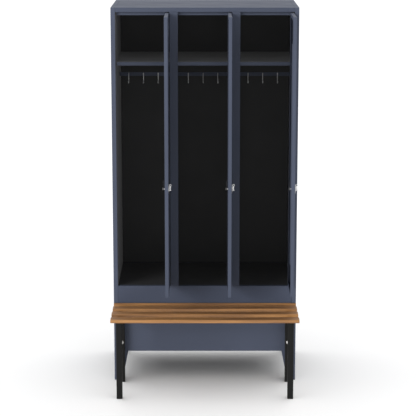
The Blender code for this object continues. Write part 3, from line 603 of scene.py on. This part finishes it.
for side in ("left", "right"):
    low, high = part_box(f"partition_post_{side}")
    centre_x = (low.x + high.x) / 2
    post = fold_sheet(
        f"post_{side}", (centre_x - slot_half, high.y, (low.z + high.z) / 2), 2,
        high.z - low.z, (0, 1, 0),
        [(slot_half - post_half, 0, 0), (0, -post_depth, 0), (2 * post_half, 0, 0),
         (0, post_depth, 0), (slot_half - post_half, 0, 0)],
        bend,
    )
    thicken(post, sheet)
    settle(post, [cabinet_coat], "carcass", "cabinet_coat", f"partition_post_{side}")
    dress(f"partition_sheet_{side}", interior_coat)

# Hat shelves: one per bay, folded from one sheet with an 18 mm lip, hemmed under in front
# and turned down against the back wall. Only the lip shows the outer colour.
shelf_lip = 0.018
shelf_hem = 0.010
shelf_relief = 0.0045
lip_skin = 0.002
for bay in bays:
    low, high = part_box(f"hat_shelf_{bay}")
    shelf = fold_sheet(
        f"shelf_{bay}", ((low.x + high.x) / 2, low.y + shelf_hem, low.z), 0,
        high.x - low.x, (0, 0, -1),
        [(0, -shelf_hem, 0), (0, 0, shelf_lip), (0, high.y - low.y, 0), (0, 0, -shelf_lip)],
        bend,
    )
    thicken(shelf, sheet)
    for edge_x in (low.x, high.x):
        cut_away(shelf, add_block(
            "shelf_relief", (edge_x - shelf_relief, low.y - overrun, low.z - overrun),
            (edge_x + shelf_relief, low.y + shelf_hem + overrun, high.z - sheet - gap)
        ))
    settle(shelf, [interior_coat, cabinet_coat], "carcass", "cabinet_coat", f"hat_shelf_{bay}")
    for face in shelf.data.polygons:
        if face.normal.y < -0.5 and face.center.y < low.y + lip_skin:
            face.material_index = 1

# Hook rails: a flat steel strip across each bay, coated like the locker, with three wire
# hooks on its face. The hooks are zinc plated and bright.
rail_depth = 0.015
rail_tall = 0.018
rail_thickness = 0.002
rail_bend = 0.0026
hook_from_door = 0.1355
hook_top_margin = 0.002
hook_weld = 0.0008
hook_bevel = 0.001
wire = 0.0023
curl = 0.011
tip_rise = 0.013
hook_pitch = 0.074
plate_grey = (0.78, 0.78, 0.78, 1.0)
plate_dark = (0.58, 0.58, 0.59, 1.0)

worn_plating, plating_in, plating_out = new_group(
    "worn_plating",
    [("Colour", "NodeSocketColor", plate_grey), ("Stain", "NodeSocketColor", plate_dark),
     ("Scale", "NodeSocketFloat", 60.0), ("Roughness", "NodeSocketFloat", 0.25)],
    [("Colour", "NodeSocketColor"), ("Roughness", "NodeSocketFloat"),
     ("Normal", "NodeSocketVector")],
)
plating_at = add_node(worn_plating, "TexCoord").outputs["Object"]
stains = add_node(worn_plating, "TexNoise")
stains.inputs["Detail"].default_value = 5.0
worn_plating.links.new(plating_at, stains.inputs["Vector"])
worn_plating.links.new(plating_in.outputs["Scale"], stains.inputs["Scale"])
stained = remap(worn_plating, stains.outputs["Fac"], 0.40, 0.72, 0.0, 1.0)
stained_colour = blended(
    worn_plating, stained, plating_in.outputs["Colour"], plating_in.outputs["Stain"]
)
worn_plating.links.new(stained_colour, plating_out.inputs["Colour"])
matt = add_node(worn_plating, "Math", operation="MULTIPLY_ADD")
worn_plating.links.new(stained, matt.inputs[0])
matt.inputs[1].default_value = 0.15
worn_plating.links.new(plating_in.outputs["Roughness"], matt.inputs[2])
worn_plating.links.new(matt.outputs[0], plating_out.inputs["Roughness"])
scratches = add_node(worn_plating, "Bump")
scratches.inputs["Distance"].default_value = 0.0002
scratches.inputs["Strength"].default_value = 0.15
worn_plating.links.new(noise(worn_plating, 900.0, 2.0, plating_at), scratches.inputs["Height"])
worn_plating.links.new(scratches.outputs["Normal"], plating_out.inputs["Normal"])


def metal_finish(name, colour, stain, scale, roughness):
    """Plated metal with faint stains and scratches."""
    made, tree, shader = finish_of(name)
    plating = add_node(tree, "Group", node_tree=worn_plating)
    plating.inputs["Colour"].default_value = colour
    plating.inputs["Stain"].default_value = stain
    plating.inputs["Scale"].default_value = scale
    plating.inputs["Roughness"].default_value = roughness
    for label in ("Roughness", "Normal"):
        tree.links.new(plating.outputs[label], shader.inputs[label])
    tree.links.new(plating.outputs["Colour"], shader.inputs["Base Color"])
    shader.inputs["Metallic"].default_value = 1.0
    return made


bright_steel = metal_finish("bright_steel", plate_grey, plate_dark, 60.0, 0.32)
hook_plate = metal_finish(
    "hook_plate", (0.80, 0.80, 0.80, 1.0), (0.62, 0.62, 0.62, 1.0), 60.0, 0.45
)
zinc_plate = metal_finish(
    "zinc_plate", (0.50, 0.50, 0.50, 1.0), (0.36, 0.35, 0.33, 1.0), 90.0, 0.34
)
for bay in bays:
    low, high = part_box(f"hook_rail_{bay}")
    rail_y = high.y - rail_depth
    rail = fold_sheet(
        f"hook_strip_{bay}", (low.x, high.y, high.z - rail_tall / 2), 2, rail_tall, (-1, 0, 0),
        [(0, -rail_depth, 0), (high.x - low.x, 0, 0), (0, rail_depth, 0)], rail_bend,
    )
    thicken(rail, rail_thickness)
    settle(rail, [cabinet_coat], "carcass", "cabinet_coat", f"hook_rail_{bay}")
    middle_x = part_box(f"door_pan_{bay}")[1].x - hook_from_door
    for step, spot in enumerate(("left", "middle", "right")):
        hook_x = middle_x + (step - 1) * hook_pitch
        hook_y = rail_y - wire + hook_weld
        hook_top = high.z - hook_top_margin
        curl_z = low.z + wire + curl
        clear_selection()
        bpy.ops.mesh.primitive_circle_add(
            vertices=16, radius=wire, fill_type="NGON", location=(hook_x, hook_y, hook_top)
        )
        hook = begin(f"hook_{bay}_{spot}", (1, 1, 1))
        bpy.ops.mesh.extrude_region_move(
            TRANSFORM_OT_translate={"value": (0, 0, curl_z - hook_top)}
        )
        bpy.ops.mesh.spin(
            steps=14, angle=math.pi, center=(hook_x, hook_y - curl, curl_z), axis=(-1, 0, 0)
        )
        bpy.ops.mesh.extrude_region_move(TRANSFORM_OT_translate={"value": (0, 0, tip_rise)})
        turn_outwards()
        round_folds(lambda edge: is_fold(edge, 60.0), hook_bevel, 3)
        settle(hook, [hook_plate], "carcass", "bright_steel", f"hook_rail_{bay}")

# Doors: pressed steel pans with a rounded face, returns all round the open inside, three
# pressed air slots at the top and at the bottom, and a hat channel up the middle.
door_return = 0.018
slot_length = 0.100
slot_tall = 0.006
slot_pitch = 0.018
slot_margin = 0.050
slot_round = slot_tall * 0.45
channel_crown = 0.034
channel_foot = 0.012
pivot_inset = 0.006
pin_hole = 0.0033
latch_inset = 0.030
latch_height = 1.0125
spindle_hole = 0.0043
low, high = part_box("door_pan_left")
middle_y = (low.y + high.y) / 2
pan = add_block("door_left", low, high)
pick("FACE", lambda face: face.normal.x < -0.9)
bpy.ops.mesh.inset(thickness=door_return, depth=0.0)
bpy.ops.mesh.delete(type="FACE")
round_folds(lambda edge: is_fold(edge) and middle(edge).x > low.x + sheet, bend, 3)
round_folds(lambda edge: is_fold(edge) and middle(edge).x < low.x + sheet, bend, 3)
thicken(pan, sheet)
for edge_z, way in ((low.z, 1), (high.z, -1)):
    for row in range(3):
        slot_z = edge_z + way * (slot_margin + row * slot_pitch)
        slot = add_block(
            "air_slot", (high.x - overrun, middle_y - slot_length / 2, slot_z - slot_tall / 2),
            (high.x + overrun, middle_y + slot_length / 2, slot_z + slot_tall / 2)
        )
        round_folds(lambda edge: runs_along(edge, 0), slot_round, 4)
        cut_away(pan, slot)
    clear_selection()
    bpy.ops.mesh.primitive_cylinder_add(
        vertices=24, radius=pin_hole, depth=2 * overrun,
        location=(high.x - pivot_inset, high.y - pivot_inset, edge_z)
    )
    cut_away(pan, begin("pin_hole", (1, 1, 1)))
clear_selection()
bpy.ops.mesh.primitive_cylinder_add(
    vertices=24, radius=spindle_hole, depth=2 * overrun,
    location=(high.x, low.y + latch_inset, latch_height), rotation=(0, math.radians(90.0), 0)
)
cut_away(pan, begin("spindle_hole", (1, 1, 1)))
settle(pan, [cabinet_coat], "door_left", "cabinet_coat", "door_pan_left")

low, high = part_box("door_stiffener_left")
slope = (high.y - low.y - channel_crown) / 2 - channel_foot
rise = high.x - low.x - sheet
channel = fold_sheet(
    "channel_left", (high.x, low.y, (low.z + high.z) / 2), 2, high.z - low.z, (1, 0, 0),
    [(0, channel_foot, 0), (-rise, slope, 0), (0, channel_crown, 0), (rise, slope, 0),
     (0, channel_foot, 0)],
    bend,
)
thicken(channel, sheet)
settle(channel, [cabinet_coat], "door_left", "cabinet_coat", "door_stiffener_left")
bay_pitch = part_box("door_pan_middle")[0].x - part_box("door_pan_left")[0].x
for step, bay in enumerate(bays[1:], start=1):
    shift = (step * bay_pitch, 0, 0)
    copy_of(pan, f"door_{bay}", f"door_{bay}", f"door_pan_{bay}", shift)
    copy_of(channel, f"channel_{bay}", f"door_{bay}", f"door_stiffener_{bay}", shift)

# Pivot pins: turned steel pins with a collar, zinc plated and passivated black, above and
# below each door.
black_zinc = metal_finish(
    "black_zinc", (0.045, 0.045, 0.048, 1.0), (0.020, 0.020, 0.021, 1.0), 70.0, 0.42
)
for bay in bays:
    for end in ("lower", "upper"):
        dress(f"hinge_pin_{end}_{bay}", black_zinc)

# Turn latches: a turned, plated rose on each door with a fixed eye, a knob whose grip ends in
# a second eye for the padlock, and a black passivated cam held on the spindle by a nut.
rose_radius = 0.023
rose_height = 0.0028
knob_radius = 0.011
knob_height = 0.0071
spindle_radius = 0.004
spindle_end = -0.0275
eye_out = 0.0088
eye_offset = 0.017
eye_radius = 0.0055
eye_hole = 0.0034
eye_broken = 0.0004
eye_step = 0.0001
plate_step = 0.0003
fixed_eye_low = -0.0043
fixed_eye_top = -0.0018
stem_half = 0.0045
stem_root = 0.0016
grip_half = 0.0015
grip_low = 0.009
grip_root = 0.0051
grip_out = 0.0112
grip_round = 0.002
grip_broken = 0.0005
cam_round = 0.0066
cam_broken = 0.0004
rose_rings = (
    (0.0003, 0.0224), (0.0006, 0.0228), (0.0010, rose_radius), (0.0014, 0.0227),
    (0.0020, 0.0205), (0.0025, 0.0175), (rose_height, 0.0145), (rose_height, 0.0125),
    (0.0025, 0.0120), (0.0025, 0.0060),
)
knob_rings = (
    (spindle_end, 0.0034), (spindle_end + 0.0006, spindle_radius), (0.0031, spindle_radius),
    (0.0031, 0.0102), (0.0035, 0.0108), (0.0041, knob_radius), (0.0060, knob_radius),
    (0.0067, 0.0107), (knob_height, 0.0100), (knob_height, 0.0086), (0.0067, 0.0080),
    (0.0067, 0.0050),
)
cam_nut_rings = (
    (spindle_end + 0.0001, 0.0058), (spindle_end + 0.0004, 0.0066), (-0.0257, 0.0066),
    (-0.0256, 0.0064),
)
fixed_bore_ends = (-0.001, 0.0035)
rose_bore_ends = (-0.001, 0.004)
grip_bore_ends = (-0.001, 0.004)
cam_bore_ends = (-0.030, -0.020)


def turned_part(name, at, axis, rings, sides=48):
    """A closed part turned round an axis through a place, from pairs of distance and radius."""
    clear_selection()
    turn = ((0, math.radians(90.0), 0), (math.radians(90.0), 0, 0), (0, 0, 0))[axis]
    centre = Vector(at)
    centre[axis] += rings[0][0]
    bpy.ops.mesh.primitive_circle_add(
        vertices=sides, radius=rings[0][1], fill_type="NGON", location=centre, rotation=turn
    )
    part = begin(name, (1, 1, 1))
    for (near, width), (far, new_width) in zip(rings, rings[1:]):
        step = Vector()
        step[axis] = far - near
        bpy.ops.mesh.extrude_region_move(TRANSFORM_OT_translate={"value": step})
        centre[axis] += far - near
        bpy.ops.transform.resize(value=(new_width / width,) * 3, center_override=centre)
    turn_outwards()
    return part


def weld_on(piece, other):
    """Make one solid of two that overlap."""
    for part in (piece, other):
        if part.mode == "EDIT":
            bpy.ops.object.mode_set(mode="OBJECT")
    apply_step(piece, "BOOLEAN", operation="UNION", solver="EXACT", object=other)
    bpy.data.objects.remove(other, do_unlink=True)


def bore(piece, at, axis, ends, radius, sides=32):
    """Cut a straight hole into a piece."""
    cut_away(piece, turned_part("bore", at, axis, [(end, radius) for end in ends], sides))


def eye_disc(name, at, axis, thickness):
    """A flat round lug with broken edges, thinner than its plate so that no faces coincide."""
    near, far = eye_step, thickness - eye_step
    return turned_part(name, at, axis, (
        (near, eye_radius - eye_broken), (near + eye_broken, eye_radius),
        (far - eye_broken, eye_radius), (far, eye_radius - eye_broken),
    ), 32)


face_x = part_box("door_pan_left")[1].x
low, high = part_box("latch_rosette_left")
latch_y = (low.y + high.y) / 2
latch_z = (low.z + high.z) / 2
latch_at = Vector((face_x, latch_y, latch_z))
rose = turned_part("latch_rose_left", latch_at, 0, rose_rings)
stem_y = latch_y - eye_offset
stem = add_block(
    "eye_stem", (face_x + stem_root, stem_y - stem_half, latch_z + fixed_eye_low),
    (face_x + eye_out - plate_step, stem_y + stem_half, latch_z + fixed_eye_top),
)
round_folds(is_fold, eye_broken, 2)
weld_on(rose, stem)
eye_at = latch_at + Vector((eye_out, -eye_offset, fixed_eye_low))
weld_on(rose, eye_disc("fixed_eye", eye_at, 2, fixed_eye_top - fixed_eye_low))
bore(rose, eye_at, 2, fixed_bore_ends, eye_hole, 24)
bore(rose, latch_at, 0, rose_bore_ends, spindle_hole)
settle(rose, [bright_steel], "door_left", "bright_steel", "latch_rosette_left")

knob = turned_part("latch_grip_left", latch_at, 0, knob_rings)
grip = add_block(
    "grip_plate", (face_x + grip_root, latch_y - grip_half, latch_z - grip_low),
    (face_x + grip_out, latch_y + grip_half, latch_z + eye_offset - plate_step),
)
round_folds(lambda edge: runs_along(edge, 1), grip_round, 5)
round_folds(lambda edge: is_fold(edge, 60.0), grip_broken, 2)
weld_on(knob, grip)
eye_at = latch_at + Vector((eye_out, -grip_half, eye_offset))
weld_on(knob, eye_disc("grip_eye", eye_at, 1, 2 * grip_half))
bore(knob, eye_at, 1, grip_bore_ends, eye_hole, 24)
settle(knob, [bright_steel], "latch_left", "bright_steel", "latch_knob_left")

cam = add_block("latch_arm_left", *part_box("latch_cam_left"))
round_folds(lambda edge: runs_along(edge, 0), cam_round, 8)
round_folds(lambda edge: is_fold(edge, 60.0), cam_broken, 2)
bore(cam, latch_at, 0, cam_bore_ends, spindle_hole)
settle(cam, [black_zinc], "latch_left", "zinc", "latch_cam_left")

cam_nut = turned_part("latch_nut_left", latch_at, 0, cam_nut_rings, 6)
bore(cam_nut, latch_at, 0, cam_bore_ends, spindle_hole)
settle(cam_nut, [zinc_plate], "latch_left", "zinc", "latch_cam_left")
for step, bay in enumerate(bays[1:], start=1):
    shift = (bay_pitch * step, 0, 0)
    copy_of(rose, f"latch_rose_{bay}", f"door_{bay}", f"latch_rosette_{bay}", shift)
    copy_of(knob, f"latch_grip_{bay}", f"latch_{bay}", f"latch_knob_{bay}", shift)
    copy_of(cam, f"latch_arm_{bay}", f"latch_{bay}", f"latch_cam_{bay}", shift)
    copy_of(cam_nut, f"latch_nut_{bay}", f"latch_{bay}", f"latch_cam_{bay}", shift)

# Bench slats: planed hardwood bars 52 by 16 mm with rounded edges and an oiled face, and a
# narrow batten against the locker. The grain runs along the bench.
slat_radius = 0.003
wood_light = (0.375, 0.178, 0.054, 1.0)
wood_dark = (0.110, 0.048, 0.018, 1.0)

plank_grain, grain_in, grain_out = new_group(
    "plank_grain",
    [("Light", "NodeSocketColor", wood_light), ("Dark", "NodeSocketColor", wood_dark),
     ("Streaks", "NodeSocketFloat", 1.0)],
    [("Colour", "NodeSocketColor"), ("Roughness", "NodeSocketFloat"),
     ("Normal", "NodeSocketVector")],
)
wood_at = add_node(plank_grain, "TexCoord").outputs["Object"]


def stretched(tree, vector, scale):
    """Coordinates scaled apart along each axis."""
    made = add_node(tree, "Mapping")
    made.inputs["Scale"].default_value = scale
    tree.links.new(vector, made.inputs["Vector"])
    return made.outputs["Vector"]


broad = noise(plank_grain, 1.0, 4.0, stretched(plank_grain, wood_at, (2.2, 28.0, 40.0)))
lines = noise(plank_grain, 1.0, 5.0, stretched(plank_grain, wood_at, (5.0, 210.0, 260.0)))
pores = noise(plank_grain, 1.0, 3.0, stretched(plank_grain, wood_at, (40.0, 1400.0, 1400.0)))
streaks = add_node(plank_grain, "Math", operation="MULTIPLY")
plank_grain.links.new(remap(plank_grain, broad, 0.36, 0.66, 0.0, 0.75), streaks.inputs[0])
plank_grain.links.new(grain_in.outputs["Streaks"], streaks.inputs[1])
dark = grain_in.outputs["Dark"]
wood = blended(plank_grain, streaks.outputs[0], grain_in.outputs["Light"], dark)
fine = remap(plank_grain, lines, 0.45, 0.70, 0.0, 0.55)
wood = blended(plank_grain, fine, wood, dark)
pits = remap(plank_grain, pores, 0.60, 0.72, 0.0, 0.5)
wood = blended(plank_grain, pits, wood, dark)
plank_grain.links.new(wood, grain_out.inputs["Colour"])
sheen = remap(plank_grain, lines, 0.3, 0.7, 0.38, 0.55)
plank_grain.links.new(sheen, grain_out.inputs["Roughness"])
pore_bump = add_node(plank_grain, "Bump")
pore_bump.inputs["Distance"].default_value = 0.0004
pore_bump.inputs["Strength"].default_value = 0.25
plank_grain.links.new(pores, pore_bump.inputs["Height"])
plank_grain.links.new(pore_bump.outputs["Normal"], grain_out.inputs["Normal"])

oiled_wood, tree, shader = finish_of("oiled_wood")
grain = add_node(tree, "Group", node_tree=plank_grain)
tree.links.new(grain.outputs["Colour"], shader.inputs["Base Color"])
tree.links.new(grain.outputs["Roughness"], shader.inputs["Roughness"])
tree.links.new(grain.outputs["Normal"], shader.inputs["Normal"])
for node in ("bench_slat_front", "bench_slat_middle", "bench_slat_rear", "bench_batten"):
    bar = add_block(node.replace("bench_", ""), *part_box(node))
    round_folds(is_fold, slat_radius, 4)
    settle(bar, [oiled_wood], "carcass", "oiled_wood", node)

# Bench frame: square steel tube, 28 mm with a 2 mm wall, cut square, welded and coated
# black. Each leg ends in a pushed-in plastic glide.
tube_wall = 0.002
tube_corner = 0.003
frame_coat = coat_finish(
    "frame_coat", (0.008, 0.008, 0.0077, 1.0), (0.028, 0.028, 0.027, 1.0), 0.5, 0.4, 0.12
)


def square_tube(node, axis):
    """A square tube with open ends in the place of a CAD node."""
    tube = add_block(node.replace("bench_", ""), *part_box(node))
    round_folds(lambda edge: runs_along(edge, axis), tube_corner, 4)
    pick("FACE", lambda face: abs(face.normal[axis]) > 0.9)
    bpy.ops.mesh.delete(type="FACE")
    thicken(tube, tube_wall)
    return settle(tube, [frame_coat], "carcass", "black_coat", node)


for side in ("left", "right"):
    for end in ("front", "rear"):
        square_tube(f"bench_leg_{end}_{side}", 2)
    square_tube(f"bench_rail_{side}", 1)
square_tube("bench_cross_rail", 0)

# Weld beads: the rails are joined to the legs by a bead round three sides of each joint, and
# ground flush on top, where the slats lie. They are coated with the frame.
bead_out = 0.0012
bead_half = 0.0016
bead_flush = 0.0002
bead_round = 0.0011
low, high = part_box("bench_rail_left")
bead = add_block(
    "weld_bead_front_left", (low.x - bead_out, low.y - bead_half, low.z - bead_out),
    (high.x + bead_out, low.y + bead_half, high.z - bead_flush)
)
round_folds(is_fold, bead_round, 4)
settle(bead, [frame_coat], "carcass", "black_coat", "bench_rail_left")
back = high.y - low.y
over = 2 * abs((low.x + high.x) / 2)
copy_of(bead, "weld_bead_rear_left", "carcass", "bench_rail_left", (0, back, 0))
copy_of(bead, "weld_bead_front_right", "carcass", "bench_rail_right", (over, 0, 0))
copy_of(bead, "weld_bead_rear_right", "carcass", "bench_rail_right", (over, back, 0))
low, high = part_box("bench_cross_rail")
for side, joint_x in (("left", low.x), ("right", high.x)):
    bead = add_block(
        f"weld_bead_cross_{side}", (joint_x - bead_half, low.y - bead_out, low.z - bead_out),
        (joint_x + bead_half, high.y + bead_out, high.z - bead_flush)
    )
    round_folds(is_fold, bead_round, 4)
    settle(bead, [frame_coat], "carcass", "black_coat", "bench_cross_rail")

# Feet and fixing: moulded black plastic glides pushed into the legs, and one bolt at each side
# through the rear leg, a plastic spacer and the locker's foot, with a nut behind.
glide_foot = 0.005
glide_inset = 0.0024
glide_round = 0.0022
sole_round = 0.0014
bolt_radius = 0.004
bolt_hole = 0.0043
nut_radius = 0.0065
nut_chamfer = 0.0007
spacer_radius = 0.0100
spacer_chamfer = 0.0006
chamfer_run = 0.0006
socket_radius = 0.0027
socket_ends = (-0.001, 0.0028)
washer_bore_ends = (-0.003, 0.002)
nut_bore_ends = (-0.002, 0.008)
spacer_bore_ends = (-0.002, 0.012)
washer_rings = ((-0.0016, 0.0086), (-0.0013, 0.0090), (-0.0003, 0.0090), (0.0, 0.0086))
plastic_finish = coat_finish(
    "black_plastic", (0.014, 0.014, 0.014, 1.0), (0.030, 0.030, 0.030, 1.0), 0.6, 0.4
)
low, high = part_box("leg_glide_front_left")
glide = add_block("glide_front_left", low, (high.x, high.y, low.z + glide_foot))
pick("FACE", lambda face: face.normal.z > 0.9)
bpy.ops.mesh.inset(thickness=glide_inset)
bpy.ops.mesh.extrude_region_move(
    TRANSFORM_OT_translate={"value": (0, 0, high.z - low.z - glide_foot)}
)
round_folds(lambda edge: runs_along(edge, 2) and is_fold(edge), glide_round, 4)
round_folds(lambda edge: middle(edge).z < low.z + tiny, sole_round, 3)
settle(glide, [plastic_finish], "carcass", "black_plastic", "leg_glide_front_left")
for node in ("leg_glide_rear_left", "leg_glide_front_right", "leg_glide_rear_right"):
    copy_of(glide, node.replace("leg_", ""), "carcass", node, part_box(node)[0] - low)

low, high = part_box("bench_bolt_left")
leg_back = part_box("bench_leg_rear_left")[0].y - gap
bolt_at = Vector(((low.x + high.x) / 2, leg_back, (low.z + high.z) / 2))
head = low.y - bolt_at.y
tip = high.y - bolt_at.y
bolt = turned_part("coach_bolt_left", bolt_at, 1, (
    (head, 0.0024), (head + 0.0004, 0.0040), (head + 0.0013, 0.0055), (head + 0.0025, 0.0063),
    (-0.0022, 0.0065), (-0.0016, 0.0062), (-0.0016, bolt_radius), (tip - 0.0006, bolt_radius),
    (tip, 0.0034),
))
bore(bolt, bolt_at, 1, [head + end for end in socket_ends], socket_radius, 6)
settle(bolt, [zinc_plate], "carcass", "zinc", "bench_bolt_left")
washer = turned_part("bolt_washer_left", bolt_at, 1, washer_rings)
bore(washer, bolt_at, 1, washer_bore_ends, bolt_hole)
settle(washer, [zinc_plate], "carcass", "zinc", "bench_bolt_left")


def on_bolt(name, node, radius, chamfer, ends, sides=48):
    """A nut or a spacer on the bolt, in the place of a CAD node, with its edges broken."""
    near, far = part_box(node)
    at = (bolt_at.x, near.y, bolt_at.z)
    width = far.y - near.y
    part = turned_part(name, at, 1, (
        (0.0, radius - chamfer), (chamfer_run, radius),
        (width - chamfer_run, radius), (width, radius - chamfer),
    ), sides)
    bore(part, at, 1, ends, bolt_hole)
    return part


nut = on_bolt("bolt_nut_left", "bench_nut_left", nut_radius, nut_chamfer, nut_bore_ends, 6)
settle(nut, [zinc_plate], "carcass", "zinc", "bench_nut_left")
spacer = on_bolt(
    "frame_spacer_left", "bench_spacer_left", spacer_radius, spacer_chamfer, spacer_bore_ends
)
settle(spacer, [plastic_finish], "carcass", "black_plastic", "bench_spacer_left")
across = (-2 * bolt_at.x, 0, 0)
copy_of(bolt, "coach_bolt_right", "carcass", "bench_bolt_right", across)
copy_of(washer, "bolt_washer_right", "carcass", "bench_bolt_right", across)
copy_of(nut, "bolt_nut_right", "carcass", "bench_nut_right", across)
copy_of(spacer, "frame_spacer_right", "carcass", "bench_spacer_right", across)

# What each lamp reaches: the fill lights only the shelves, walls, floor and back that bound
# the bays, and the key light leaves the shelves to the other lamps.
for piece in bpy.context.scene.objects:
    if piece.name.startswith(("shelf_", "side_wall_", "bay_", "partition_sheet_")):
        bay_pieces.objects.link(piece)
    if piece.name.startswith("shelf_"):
        set_apart(key_light, piece, "EXCLUDE")
